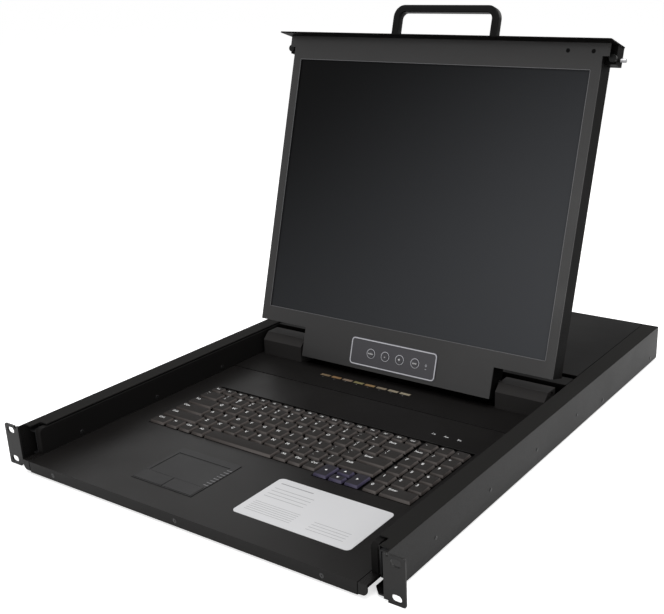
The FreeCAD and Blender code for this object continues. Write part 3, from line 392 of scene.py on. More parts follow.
def latch_finish():
    material, nodes, links, shader = new_material("latch_steel")
    put(shader, {"Roughness": 0.45, "Specular IOR Level": 0.12})
    out = nodes.new("ShaderNodeMath")
    out.operation = "ABSOLUTE"
    links.new(place_of_point(nodes, links)["X"], out.inputs[0])
    bright = ranged(nodes, links, out.outputs["Value"], PIN_FROM, PIN_FULL)
    shades = mixed(nodes, links, bright, (0.008, 0.008, 0.008), (0.42, 0.42, 0.43))
    links.new(shades, shader.inputs["Base Color"])
    links.new(bright, shader.inputs["Metallic"])
    return material


LATCH = latch_finish()
print("finish", LATCH.name)

# %% [markdown]
# Every CAD node now gets the finish of the part it is: coated sheet metal,
# dark plated slides, and moulded plastic where a finger touches. It could be
# done node by node. Two tables are shorter, one of names and one of beginnings
# of names, and whatever is in neither is coated steel.

# %% Finishes on the CAD nodes
COATS = (
    (LAMPS, "indicator_lenses"), (SCREEN, "lcd_panel"), (LABEL, "info_label"),
    (HANDLE, "handle"), (STRIP, "osd_panel"), (ZINC, "power_supply"), (BOARD, "switch_board"),
    (MOULDED, "power_inlet power_switch touchpad"), (ROCKER, "power_rocker"),
    (NICKEL, "console_ports"), (SHAFT, "hinge_shafts"), (PAINTED_HOLE_SHADE, "keyboard_base"),
    (ARROWS, "arrow_keys"), (WALLS, "left_wall right_wall"), (EARS, "left_ear right_ear"),
    (HINGES, "hinge_block_left hinge_block_right"), (DECK, "indicator_panel"),
    (TRAY, "keyboard_panel"), (BEZEL, "lcd_bezel"), (LATCH, "latch_left latch_right"),
    (COVER, "rear_cover drawer_rear_cover lcd_back_shell latch_blocks front_plate"),
    (RAILS, "rail_cover_left rail_cover_right"),
)
BEGINNINGS = {
    "slide_": SLIDE, "keys_": KEYS, "space_": KEYS, "number_": KEYS, "osd_button": STRIP,
    "touchpad_button": MOULDED,
}
by_name = {name: material for material, names in COATS for name in names.split()}
for name, node in NODES.items():
    coat = by_name.get(name)
    for beginning, material in BEGINNINGS.items():
        if coat is None and name.startswith(beginning):
            coat = material
    node.data.materials.clear()
    node.data.materials.append(coat or POWDER)
print("coated", len(NODES))

# %% [markdown]
# Print, rings and screw heads are small closed pieces that lie on a larger
# one. Blender's own primitives could be placed one by one, which makes
# hundreds of objects. Helpers that collect corners and faces make a whole row
# of legends one mesh, and hand it to the body that it moves with.

# %% A builder for small pieces
def new_object(name, data):
    """An object of a mesh, a curve, a lamp or a camera, in the scene."""
    obj = bpy.data.objects.new(name, data)
    bpy.context.scene.collection.objects.link(obj)
    return obj


def new_mesh(name, corners, faces):
    mesh = bpy.data.meshes.new(name)
    mesh.from_pydata([tuple(corner) for corner in corners], [], faces)
    return mesh


def added(name, corners, faces, material, body, slot):
    """A mesh from corners in metres and faces, given to the body that it moves with."""
    mesh = new_mesh(name, corners, faces)
    mesh.materials.append(material)
    mesh.validate()
    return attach(new_object(name, mesh), body)


def plate_of(outline, low, high, placed=None):
    """Corners and faces of a flat plate over an outline that turns anticlockwise."""
    placed = placed or Matrix.Identity(4)
    count = len(outline)
    corners = [placed @ at(x, y, low) for x, y in outline]
    corners += [placed @ at(x, y, high) for x, y in outline]
    faces = [tuple(reversed(range(count))), tuple(range(count, 2 * count))]
    for i in range(count):
        j = (i + 1) % count
        faces.append((i, j, j + count, i + count))
    return corners, faces


def merge(parts):
    """Several (corners, faces) pairs as one."""
    corners, faces = [], []
    for more, sides in parts:
        start = len(corners)
        corners += list(more)
        faces += [tuple(start + number for number in side) for side in sides]
    return corners, faces


def box_outline(x0, y0, x1, y1):
    return [(x0, y0), (x1, y0), (x1, y1), (x0, y1)]


def middle_box(wide, deep):
    """A box outline with its middle at the origin."""
    return box_outline(-wide / 2, -deep / 2, wide / 2, deep / 2)


def disc_outline(x, y, radius, count=20):
    turn = 2 * math.pi / count
    return [(x + radius * math.cos(turn * i), y + radius * math.sin(turn * i))
            for i in range(count)]


print("a disc has", len(disc_outline(0, 0, 1)), "corners")

# %% [markdown]
# No bent sheet and no moulded key has a knife edge: each edge is a small
# radius that catches a thin line of light. Rounding them in the CAD model
# would cost many faces there. Here each visible node gets a copy with bevelled
# edges that stands in for it. CAD triangles are merged first, and the bevel
# only takes edges that turn by more than 32 degrees. Sheet metal keeps flat
# bevels; on keys, handle and latches they are smooth, with normals that leave
# the large faces flat.

# %% Copies with softened edges
SAME_PLACE = 1e-6
SHARP = math.radians(32)
WIDTHS = (
    (0.5, "left_wall right_wall"), (0.35, "left_ear right_ear"), (0.4, "rear_cover"),
    (0.25, "rear_panel"), (0.4, "power_inlet power_rocker"), (0.3, "power_switch"),
    (0.15, "console_ports"), (0.45, "keyboard_panel"),
    (0.3, "indicator_panel side_bracket_left side_bracket_right"),
    (0.45, "rail_cover_left rail_cover_right"), (0.7, "hinge_block_left hinge_block_right"),
    (0.5, "drawer_rear_cover"), (0.15, "touchpad"),
    (0.2, "touchpad_button_left touchpad_button_right"), (0.45, "lcd_back_shell"),
    (0.3, "lcd_bezel"), (0.08, "osd_panel"), (0.4, "front_plate"), (1.2, "handle"),
    (0.3, "latch_blocks latch_left latch_right"),
    (0.5, "keys_function_row keys_number_row keys_top_row keys_home_row keys_shift_row"),
    (0.5, "keys_bottom_left space_bar keys_bottom_right arrow_keys number_block"),
)
EDGES = {name: width for width, names in WIDTHS for name in names.split()}


def mesh_of(obj):
    """The mesh of an object with its modifiers applied."""
    graph = bpy.context.evaluated_depsgraph_get()
    return bpy.data.meshes.new_from_object(obj.evaluated_get(graph))


def softened(name, width):
    """A copy of a CAD node with bevelled edges, width in millimetres."""
    node = NODES[name]
    shape = bmesh.new()
    shape.from_mesh(node.data)
    bmesh.ops.remove_doubles(shape, verts=shape.verts, dist=SAME_PLACE)
    bmesh.ops.dissolve_limit(shape, angle_limit=math.radians(1), verts=shape.verts,
                             edges=shape.edges)
    mesh = bpy.data.meshes.new("soft_" + name)
    shape.to_mesh(mesh)
    shape.free()
    is_key = "keys" in name or name in ("space_bar", "number_block")
    is_round = name in ("handle", "latch_left", "latch_right")
    if is_key or is_round:
        mesh.shade_smooth()
    rough = new_object("soft_" + name, mesh)
    bevel = rough.modifiers.new("edges", "BEVEL")
    bevel.width = width * MM
    bevel.segments = 1 if is_key else 2
    bevel.harden_normals = is_key or is_round
    bevel.limit_method = "ANGLE"
    bevel.angle_limit = SHARP
    bpy.context.view_layer.update()
    made = mesh_of(rough)
    rough.modifiers.remove(bevel)
    rough.data = made
    bpy.data.meshes.remove(mesh)
    made.materials.clear()
    made.materials.append(node.data.materials[0])
    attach(rough, node["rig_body"])
    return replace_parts(rough, name)


faces_before = sum(len(NODES[name].data.polygons) for name in EDGES)
faces_after = sum(len(softened(name, width).data.polygons) for name, width in EDGES.items())
print("softened", len(EDGES), "nodes, faces", faces_before, "to", faces_after)

# %% [markdown]
# White legends make a keyboard read as one. They are printed or lasered into
# each key, so a picture on the key would be the usual way, but it would need
# an image. Text turned into a mesh stays sharp at any distance. Each word is
# typed once, given a hair of thickness, closed, and kept for the next key that
# needs it.

# %% Letters as thin solids
LETTER_DEEP = 0.04
CAPITAL = 0.7  # a capital letter's share of the font size
letters = {}


def letter_mesh(word, height):
    """Corners in millimetres and faces of a word whose middle is at the origin."""
    if (word, height) in letters:
        return letters[(word, height)]
    curve = bpy.data.curves.new("word", "FONT")
    curve.body = word
    curve.size = height / CAPITAL
    curve.align_x = "CENTER"
    curve.align_y = "CENTER"
    curve.resolution_u = 2
    curve.extrude = LETTER_DEEP
    typed = new_object("word", curve)
    bpy.context.view_layer.update()
    mesh = mesh_of(typed)
    closed = bmesh.new()
    closed.from_mesh(mesh)
    bmesh.ops.remove_doubles(closed, verts=closed.verts, dist=1e-4)
    bmesh.ops.recalc_face_normals(closed, faces=closed.faces)
    closed.to_mesh(mesh)
    closed.free()
    corners = [tuple(v.co) for v in mesh.vertices]
    faces = [tuple(p.vertices) for p in mesh.polygons]
    bpy.data.objects.remove(typed)
    bpy.data.curves.remove(curve)
    bpy.data.meshes.remove(mesh)
    letters[(word, height)] = (corners, faces)
    return corners, faces


def written(word, height, x, y, z, placed=None):
    """A word as corners in metres, in the middle of (x, y), its face just over z."""
    corners, faces = letter_mesh(word, height)
    placed = placed or Matrix.Identity(4)
    lifted = z + LETTER_DEEP / 4
    return [placed @ at(x + a, y + b, lifted + c) for a, b, c in corners], faces


print("letter faces", len(letter_mesh("Q", 2.6)[1]))

# %% [markdown]
# A legend has to lie on its key's top, not beside it. The places could be
# typed in as a table and would be wrong as soon as a key moved. So they are
# measured: the flat faces at the top of a row are grouped into keys, and each
# group gives the bounds of one key top.

# %% The tops of the keys, read from the CAD mesh
LEVEL = 1e-5
ROW_APART = 4


def key_tops(node):
    """(left, front, right, rear, height) of every key top of a row, in millimetres."""
    copy = bmesh.new()
    copy.from_mesh(NODES[node].data)
    bmesh.ops.remove_doubles(copy, verts=copy.verts, dist=SAME_PLACE)
    top = max(v.co.z for v in copy.verts)
    flat = [f for f in copy.faces if min(v.co.z for v in f.verts) > top - LEVEL]
    tops = []
    while flat:
        group = {flat.pop()}
        grown = True
        while grown:
            near = {f for f in flat if any(e in g.edges for g in group for e in f.edges)}
            grown = bool(near)
            group |= near
            flat = [f for f in flat if f not in near]
        xs = [v.co.x / MM for f in group for v in f.verts]
        ys = [v.co.y / MM for f in group for v in f.verts]
        tops.append((min(xs), min(ys), max(xs), max(ys), top / MM))
    copy.free()
    return sorted(tops, key=lambda key: (round(key[1] / ROW_APART), key[0]))


print("tops of the number row", len(key_tops("keys_number_row")))

# %% [markdown]
# A key shows its letter near its rear left corner, as most keyboards do. Keys
# with two signs have the shifted one behind the other, and wide keys carry a
# small word. One string for each row is the shortest way to write them down,
# in the order in which the tops are found. The texts are what any keyboard
# carries.

# %% Legends row by row
ROWS = {
    "keys_function_row": "Esc F1 F2 F3 F4 F5 F6 F7 F8 F9 F10 F11 F12 Prt Scr Brk Del".split(),
    "keys_number_row": "~` !1 @2 #3 $4 %5 ^6 &7 *8 (9 )0 _- += Back".split(),
    "keys_top_row": "Tab Q W E R T Y U I O P {[ }] |\\".split(),
    "keys_home_row": "Caps A S D F G H J K L :; \"' Enter".split(),
    "keys_shift_row": "Shift Z X C V B N M <, >. ?/ Shift".split(),
    "keys_bottom_left": "Ctrl Fn Opt Alt".split(),
    "keys_bottom_right": "Alt Opt Ctrl".split(),
    "number_block": "0 Enter 1 2 3 4 5 6 7 8 9 Num / * - + .".split(),
}
SMALL = 2.5
LARGE = 3.9
SIGN_LEFT, LETTER_REAR, SHIFTED_REAR, PLAIN_REAR = 3.6, 4.6, 3.0, 8.2
WORD_LEFT, WORD_REAR = 1.6, 4.4


def legends(row):
    """The legends of a row, each at its distances from the left and the rear edge of the top."""
    parts = []
    for (left, front, right, rear, top), word in zip(key_tops(row), ROWS[row]):
        if len(word) == 2 and not word.isalnum():
            x = left + SIGN_LEFT
            parts.append(written(word[0], LARGE * 0.8, x, rear - SHIFTED_REAR, top))
            parts.append(written(word[1], LARGE * 0.8, x, rear - PLAIN_REAR, top))
        elif len(word) == 1:
            parts.append(written(word, LARGE, left + SIGN_LEFT, rear - LETTER_REAR, top))
        elif row == "keys_function_row":
            parts.append(written(word, SMALL, (left + right) / 2, (front + rear) / 2, top))
        else:
            wide = len(word) * SMALL * 0.5
            x = left + WORD_LEFT + wide
            parts.append(written(word, SMALL * 1.25, x, rear - WORD_REAR, top))
    return parts


for row in ROWS:
    corners, faces = merge(legends(row))
    added("legends_" + row, corners, faces, PRINT, row, "key_plastic")
    print(row, "keys", len(key_tops(row)), "legends", len(ROWS[row]), "faces", len(faces))

# %% [markdown]
# The four arrow keys carry small triangles. A font may have arrows, but not
# every font has, and a missing one leaves an empty box. A drawn triangle,
# turned the way the key points, is safe and has few faces.

# %% Arrow signs
TRIANGLE = [(-1.5, -1.0), (1.5, -1.0), (0, 1.5)]
TURNS = {"left": math.pi / 2, "down": math.pi, "up": 0.0, "right": -math.pi / 2}


def arrow_sign(x, y, top, turn):
    cos, sin = math.cos(turn), math.sin(turn)
    turned = [(x + a * cos - b * sin, y + a * sin + b * cos) for a, b in TRIANGLE]
    return plate_of(turned, top - 0.03, top + 0.05)


arrow_tops = sorted(key_tops("arrow_keys"), key=lambda key: (round(key[0]), key[1]))
arrow_parts = []
for (left, front, right, rear, top), word in zip(arrow_tops, ("left", "down", "up", "right")):
    arrow_parts.append(arrow_sign((left + right) / 2, (front + rear) / 2, top, TURNS[word]))
corners, faces = merge(arrow_parts)
added("legends_arrow_keys", corners, faces, PRINT, "arrow_keys", "key_plastic")
print("arrow signs", len(arrow_parts))

# %% [markdown]
# Screws, slots, ticks, bars and contacts repeat in straight rows. An Array
# modifier could do it, or a loop that copies corners. Geometry Nodes show the
# rule itself: a line of points, one item on each, made real at the end. The
# tree's sizes are named inputs, so that it serves every row, and each row
# becomes a plain mesh, because the finished scene keeps no modifiers.

# %% The row tree
def row_tree():
    tree = bpy.data.node_groups.new("row_of_items", "GeometryNodeTree")
    face = tree.interface
    for label, kind in (("Item", "Object"), ("Count", "Int"), ("Start", "Vector"),
                        ("Step", "Vector"), ("Finish", "Material")):
        face.new_socket(name=label, in_out="INPUT", socket_type="NodeSocket" + kind)
    face.new_socket(name="Row", in_out="OUTPUT", socket_type="NodeSocketGeometry")
    nodes, links = tree.nodes, tree.links
    start = nodes.new("NodeGroupInput")
    end = nodes.new("NodeGroupOutput")
    line = nodes.new("GeometryNodeMeshLine")
    links.new(start.outputs["Count"], line.inputs["Count"])
    links.new(start.outputs["Start"], line.inputs["Start Location"])
    links.new(start.outputs["Step"], line.inputs["Offset"])
    item = nodes.new("GeometryNodeObjectInfo")
    links.new(start.outputs["Item"], item.inputs["Object"])
    spread = nodes.new("GeometryNodeInstanceOnPoints")
    links.new(line.outputs["Mesh"], spread.inputs["Points"])
    links.new(item.outputs["Geometry"], spread.inputs["Instance"])
    real = nodes.new("GeometryNodeRealizeInstances")
    links.new(spread.outputs["Instances"], real.inputs["Geometry"])
    coated = nodes.new("GeometryNodeSetMaterial")
    links.new(real.outputs["Geometry"], coated.inputs["Geometry"])
    links.new(start.outputs["Finish"], coated.inputs["Material"])
    links.new(coated.outputs["Geometry"], end.inputs["Row"])
    return tree


ROW = row_tree()
SOCKETS = {item.name: item.identifier for item in ROW.interface.items_tree
           if item.in_out == "INPUT"}


def row_parts(shape, start, step, count, material):
    """Corners and faces of one shape repeated along a row; start and step in millimetres."""
    item = new_object("item", new_mesh("item", *shape))
    holder = new_object("row", bpy.data.meshes.new("row"))
    laid = holder.modifiers.new("row", "NODES")
    laid.node_group = ROW
    laid[SOCKETS["Item"]] = item
    laid[SOCKETS["Count"]] = count
    laid[SOCKETS["Start"]] = at(*start)
    laid[SOCKETS["Step"]] = at(*step)
    laid[SOCKETS["Finish"]] = material
    bpy.context.view_layer.update()
    made = mesh_of(holder)
    corners = [v.co.copy() for v in made.vertices]
    faces = [tuple(p.vertices) for p in made.polygons]
    holder.modifiers.remove(laid)
    for obj in (holder, item):
        bpy.data.objects.remove(obj)
    bpy.data.meshes.remove(made)
    return corners, faces


print("row inputs", sorted(SOCKETS))

# %% [markdown]
# A screw head here is a low dome with a cross recess. It could be spun from a
# profile and cut with a boolean, which leaves ragged faces. A stack of rings
# gives the dome, and the innermost rings are pulled in between the four arms,
# which makes the recess with very few faces.

# %% One screw head
AXES = {
    "right": Matrix.Rotation(math.pi / 2, 4, "Y"),
    "left": Matrix.Rotation(-math.pi / 2, 4, "Y"),
    "front": Matrix.Rotation(math.pi / 2, 4, "X"),
    "rear": Matrix.Rotation(-math.pi / 2, 4, "X"),
}
HEAD_SUNK = 0.3
SIDES = 16
PINCH = 0.45


def screw_head(radius, high, way):
    """A low dome whose axis points that way, with a cross recess in its top."""
    profile = [(radius, -HEAD_SUNK, 1), (radius, high * 0.35, 1), (radius * 0.8, high * 0.85, 1),
               (radius * 0.5, high, 1), (radius * 0.42, high, PINCH),
               (radius * 0.3, high - radius * 0.3, PINCH)]
    corners = []
    for size, z, pinch in profile:
        for i in range(SIDES):
            reach = size if i % 4 == 0 else size * pinch
            turn = 2 * math.pi * i / SIDES
            corners.append(AXES[way] @ at(reach * math.cos(turn), reach * math.sin(turn), z))
    faces = [tuple(reversed(range(SIDES)))]
    for low in range(0, SIDES * (len(profile) - 1), SIDES):
        for i in range(SIDES):
            j = (i + 1) % SIDES
            faces.append((low + i, low + j, low + SIDES + j, low + SIDES + i))
    faces.append(tuple(range(SIDES * (len(profile) - 1), SIDES * len(profile))))
    return corners, faces


print("faces of a screw head", len(screw_head(3.6, 1.4, "right")[1]))

# %% [markdown]
# Small black screws hold the walls, the front lip of the tray and the covers
# of the slides. They stand at even distances, so each row is one call of the
# row tree, with the same head laid along the wall or the lip. Placing them by
# hand would hide that rule.

# %% Screws in rows
WALL_FACE = 223.0
COVER_FACE = 201.5
FRONT_LIP = -7.0
WALL_HEAD, BOX_HEAD, TRAY_HEAD = (1.9, 0.6), (2.4, 0.5), (2.4, 0.4)  # radius, height
SCREW_ROWS = {
    ("wall_screws", "chassis"): [
        (WALL_HEAD, "right", (WALL_FACE, 74, -3), (0, 95, 0), 4),
        (WALL_HEAD, "left", (-WALL_FACE, 74, -3), (0, 95, 0), 4),
        (BOX_HEAD, "right", (WALL_FACE, 430, -13), (0, 150, 0), 2),
        (BOX_HEAD, "left", (-WALL_FACE, 430, -13), (0, 150, 0), 2),
    ],
    ("tray_screws", "drawer"): [
        (TRAY_HEAD, "front", (-165, FRONT_LIP, -13.7), (165, 0, 0), 3),
        (TRAY_HEAD, "left", (COVER_FACE, 60, -3), (0, 105, 0), 4),
        (TRAY_HEAD, "right", (-COVER_FACE, 60, -3), (0, 105, 0), 4),
    ],
}
for (name, body), rows in SCREW_ROWS.items():
    parts = [row_parts(screw_head(*head, way), start, step, count, SCREW)
             for head, way, start, step, count in rows]
    added(name, *merge(parts), SCREW, body, "powder_black")
    print(name, sum(row[-1] for row in rows))

# %% [markdown]
# Thin outlines frame the control strip and the screen window. A curve with a
# bevel could draw them, but its ends and corners need care. A flat ring
# between two rounded rectangles, a few hundredths of a millimetre proud of the
# face that it is printed on, is closed by itself. The rings are drawn upright
# and turned about the hinge, the same turn that the CAD frame has.

# %% Outlines on the upright display
FRONT = stand() @ Matrix.Rotation(math.pi / 2, 4, "X")
SUNK = 0.1


def rounded(x0, y0, x1, y1, radius, steps):
    outline = []
    for cx, cy, first in ((x1 - radius, y0 + radius, -90), (x1 - radius, y1 - radius, 0),
                          (x0 + radius, y1 - radius, 90), (x0 + radius, y0 + radius, 180)):
        for step in range(steps + 1):
            turn = math.radians(first + 90 * step / steps)
            outline.append((cx + radius * math.cos(turn), cy + radius * math.sin(turn)))
    return outline


def ring_of(outer, inner, face, proud):
    """A flat ring between two outlines, printed on a face of the display."""
    count = len(outer)
    corners = [FRONT @ at(x, y, z) for z in (face - SUNK, face + proud)
               for loop in (outer, inner) for x, y in loop]
    faces = []
    for i in range(count):
        j = (i + 1) % count
        faces.append((i + count, j + count, j, i))
        faces.append((i + 2 * count, j + 2 * count, j + 3 * count, i + 3 * count))
        faces.append((i, j, j + 2 * count, i + 2 * count))
        faces.append((j + count, i + count, i + 3 * count, j + 3 * count))
    return corners, faces


def frame_ring(x0, y0, x1, y1, radius, wide, steps, face, proud):
    """A printed line, wide millimetres across, inside a rounded rectangle."""
    outer = rounded(x0, y0, x1, y1, radius, steps)
    inner = rounded(x0 + wide, y0 + wide, x1 - wide, y1 - wide, radius - wide, steps)
    return ring_of(outer, inner, face, proud)


print("corners of a rounded outline", len(rounded(0, 0, 9, 9, 2, 5)))

# %% [markdown]
# The control strip carries a silver line near its edge, and the window of the
# screen a thin dark line round it. The strip is measured on its CAD mesh,
# turned back upright, so that the line follows it. The window isn't a solid of
# its own, so its edges are given as numbers.

# %% Rings on the display
FACE = 18.0
STRIP_INSET = 0.9
WINDOW_HALF, WINDOW_FOOT, WINDOW_HEAD = 188.5, 36.4, 338.5
EDGE_WIDE = 0.55


def upright(node):
    """Bounds of a display node drawn upright, in millimetres."""
    back = stand().inverted()
    points = [back @ v.co / MM for v in NODES[node].data.vertices]
    low = [min(p[axis] for p in points) for axis in range(3)]
    high = [max(p[axis] for p in points) for axis in range(3)]
    return low, high


strip_low, strip_high = upright("osd_panel")
strip_face = -strip_low[1]
strip_ring = frame_ring(strip_low[0] + STRIP_INSET, strip_low[2] + STRIP_INSET,
                        strip_high[0] - STRIP_INSET, strip_high[2] - STRIP_INSET,
                        4.2, 1.2, 5, strip_face, 0.06)
added("strip_outline", *strip_ring, SILVER, "display", "button_grey")

EDGE = finish("window_edge", (0.11, 0.11, 0.115), dull=(0.35, 0.4), bump=0.02)
window_ring = frame_ring(-WINDOW_HALF - EDGE_WIDE, WINDOW_FOOT - EDGE_WIDE,
                         WINDOW_HALF + EDGE_WIDE, WINDOW_HEAD + EDGE_WIDE,
                         0.8, EDGE_WIDE, 1, FACE, 0.05)
added("window_outline", *window_ring, EDGE, "display", "powder_black")
print("control strip", [round(v, 1) for v in strip_low + strip_high])

# %% [markdown]
# Each button of the control strip is a dark disc with a tiny sign, and a thin
# silver ring is printed on the strip round it. All of it could be one print,
# but the buttons move. So the field and the sign ride on the button and travel
# with it when it is pressed, and the rings stay on the strip.

# %% Button fields and signs
SIGNS = ("menu", "-", "+", "auto")
SIGN_HIGH, WORD_HIGH = 4.2, 2.2
FIELD, RING_OUT, RING_IN = 4.05, 5.7, 5.1
rings = []
for number, word in enumerate(SIGNS, 1):
    name = "osd_button_%d" % number
    low, high = upright(name)
    x = (low[0] + high[0]) / 2
    z = (low[2] + high[2]) / 2
    face = -low[1]
    field = plate_of(disc_outline(x, z, FIELD, 28), face - SUNK, face + 0.03, FRONT)
    added("field_%d" % number, *field, STRIP, name, "button_grey")
    sign = written(word, SIGN_HIGH if len(word) == 1 else WORD_HIGH, x, z, face + 0.04, FRONT)
    added("sign_%d" % number, *sign, PRINT, name, "button_grey")
    rings.append(ring_of(disc_outline(x, z, RING_OUT, 32), disc_outline(x, z, RING_IN, 32),
                         strip_face, 0.05))
added("button_rings", *merge(rings), SILVER, "display", "button_grey")
print("button face", round(face, 2), "rings", len(rings))

# %% [markdown]
# Beside the buttons sits the power lamp, marked by a small printed circle and
# a dash. It could be left to the lamp's own shape, which is too small to be
# seen as one. A ring and a bar from the same helpers as the outlines make the
# mark.

# %% The lamp mark on the control strip
MARK_X, MARK_Z, MARK_OUT, MARK_IN = 46, 3.8, 1.25, 0.85
DASH = (45.0, -0.6, 47.0, -0.2)
lamp = [
    ring_of(disc_outline(MARK_X, MARK_Z, MARK_OUT), disc_outline(MARK_X, MARK_Z, MARK_IN),
            strip_face, 0.05),
    plate_of(box_outline(*DASH), strip_face - SUNK, strip_face + 0.05, FRONT),
]
added("strip_lamp_mark", *merge(lamp), SILVER, "display", "button_grey")
print("lamp mark pieces", len(lamp))

# %% [markdown]
# The folded steel case of the screen lets warm air out through a row of small
# slots low on each side, and two small holes near the head take screws.
# Cutting them would need a boolean through thin sheet. At this size a near-black
# inset plate, painted shade, reads as the opening it stands for.

# %% Small openings of the case, as painted shade
CASE_HALF = 199.8
SLOT_WIDE, SLOT_LONG, SLOT_PITCH, SLOT_COUNT = 1.8, 8.0, 4.2, 12
HOLES_ACROSS, HOLES_UP, HOLE_RADIUS = (160.8, 189.3), 357.6, 2.3
slots = []
for side, way in ((1, "right"), (-1, "left")):
    shape = plate_of(middle_box(SLOT_WIDE, SLOT_LONG), -SUNK, 0.04, AXES[way])
    first = (side * CASE_HALF, -7, 30)
    slots.append(row_parts(shape, first, (0, 0, SLOT_PITCH), SLOT_COUNT, PAINTED_HOLE_SHADE))
corners, faces = merge(slots)
tilted = [stand() @ corner for corner in corners]
added("case_slots", tilted, faces, PAINTED_HOLE_SHADE, "display", "powder_black")
holes = [plate_of(disc_outline(x, HOLES_UP, HOLE_RADIUS), FACE - SUNK, FACE + 0.03, FRONT)
         for x in HOLES_ACROSS]
added("head_holes", *merge(holes), PAINTED_HOLE_SHADE, "display", "powder_black")
print("slots", SLOT_COUNT * len(slots), "holes", len(holes))

# %% [markdown]
# Print on the deck and on the touchpad is small and faint: a number in front
# of each lamp window, a sign by each lock mark, and a scale of short ticks
# along the touch area. The numbers and signs are letters like those on the
# keys, and the ticks are a row, so that both helpers are used once more.

# %% Small print
DECK_TOP = -7.2
LOCK_TOP = -7.5
LOCK_FIRST, LOCK_PITCH, LOCK_REAR = 110.0, 15.4, 250.6
TICK_WIDE, TICK_DEEP, TICK_PITCH, TICK_COUNT = 6.4, 0.5, 4.6, 8
numbers = [written(str(number + 1), 1.7, LAMP_FIRST + LAMP_PITCH * number, 315.8, DECK_TOP)
           for number in range(len(TINTS) - 1)]
added("lamp_numbers", *merge(numbers), FAINT, "drawer", "lens_clear")
places = [LOCK_FIRST + LOCK_PITCH * number for number in range(3)]
locks = [written(word, 2.8, x, LOCK_REAR, LOCK_TOP) for x, word in zip(places, "1AS")]
for x in places:
    bar = box_outline(x + 1.6, LOCK_REAR - 0.8, x + 3.8, LOCK_REAR)
    locks.append(plate_of(bar, LOCK_TOP - 0.05, LOCK_TOP + 0.04))
added("lock_signs", *merge(locks), PRINT, "drawer", "lens_clear")
tick = plate_of(middle_box(TICK_WIDE, TICK_DEEP), -0.05, 0.03)
ticks = row_parts(tick, (-13.6, 47, DECK_TOP), (0, TICK_PITCH, 0), TICK_COUNT, FAINT)
added("touch_ticks", *ticks, FAINT, "drawer", "moulded_black")
print("lamp numbers", len(numbers), "lock signs", len(places), "ticks", TICK_COUNT)

# %% [markdown]
# The white label on the tray is a sheet of smooth film. Pale grey bars break
# up its face: one short heading, rows under it and a block at the other side.
# An image could carry them, but plain plates stay sharp, and a row of bars is
# one thin plate repeated by the row tree.

# %% Neutral bars on the label
GREY = finish("label_grey", (0.26, 0.26, 0.27), darker=0.95, dull=(0.4, 0.45), bump=0.02)
BAR_LOW, BAR_HIGH = -0.05, 0.02
HEADING_LONG, HEADING_WIDE = 38, 1.2
# Length, half width, distance from the left and from the rear edge, pitch, count.
BAR_ROWS = (
    (46, 0.3, 0, 10, 5.2, 4),
    (52, 0.25, 0, 37, 3.1, 6),
    (40, 0.25, 70, 40, 4.2, 4),
)
label_low, label_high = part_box("info_label")
label_top = label_high.z / MM
left_edge = label_low.x / MM + 7
rear_edge = label_high.y / MM - 8
heading = box_outline(left_edge, rear_edge - HEADING_WIDE, left_edge + HEADING_LONG, rear_edge)
bars = [plate_of(heading, label_top + BAR_LOW, label_top + BAR_HIGH)]
for long, half, across, down, pitch, count in BAR_ROWS:
    bar = plate_of(box_outline(0, -half, long, half), BAR_LOW, BAR_HIGH)
    first = (left_edge + across, rear_edge - down, label_top)
    bars.append(row_parts(bar, first, (0, -pitch, 0), count, GREY))
added("label_bars", *merge(bars), GREY, "drawer", "label_white")
print("label bars", 1 + sum(row[-1] for row in BAR_ROWS))

# %% [markdown]
# The sockets at the back each hold three rows of tiny contacts in a dark
# insert. They could be modelled as real sleeves, which nobody would see at
# this size. Two plates do that: the insert, and rows of round contacts from
# the row tree.

# %% Contacts of the rear sockets
RECESS = 0.8
SOCKET_FIRST, SOCKET_PITCH, SOCKET_COUNT = -178.0, 33.0, 8
INSERT_WIDE, INSERT_HIGH = 14.0, 5.8
CONTACT_PITCH, CONTACT_RADIUS, CONTACTS_A_ROW = 2.3, 0.4, 5
port_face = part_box("console_ports")[1].y / MM - RECESS
inserts = []
contacts = []
for number in range(SOCKET_COUNT):
    x = SOCKET_FIRST + SOCKET_PITCH * number
    corners, faces = plate_of(middle_box(INSERT_WIDE, INSERT_HIGH), -0.3, 0.06, AXES["rear"])
    inserts.append(([corner + at(x, port_face, 0) for corner in corners], faces))
    dot = plate_of(disc_outline(0, 0, CONTACT_RADIUS, 8), -0.1, 0.14, AXES["rear"])
    for aside, z in ((0, -1.8), (0.5, 0.0), (0, 1.8)):
        first = (x - 2 * CONTACT_PITCH - aside, port_face, z)
        contacts.append(row_parts(dot, first, (CONTACT_PITCH, 0, 0), CONTACTS_A_ROW, PIN))
added("socket_inserts", *merge(inserts), MOULDED, "chassis", "moulded_black")
added("socket_contacts", *merge(contacts), PIN, "chassis", "port_metal")
print("contacts", len(contacts) * CONTACTS_A_ROW, "at y", round(port_face, 2))

# %% [markdown]
# The drawer stands on a pale floor that keeps its soft shadow. A white floor
# lit only by the lamps comes out grey, and stronger lamps would bleach the
# black parts. So the floor glows a little, but only for the camera: Light Path
# keeps that glow away from the object.

# %% The floor
FLOOR_Z = cad_low.z
FLOOR_HALF = 40


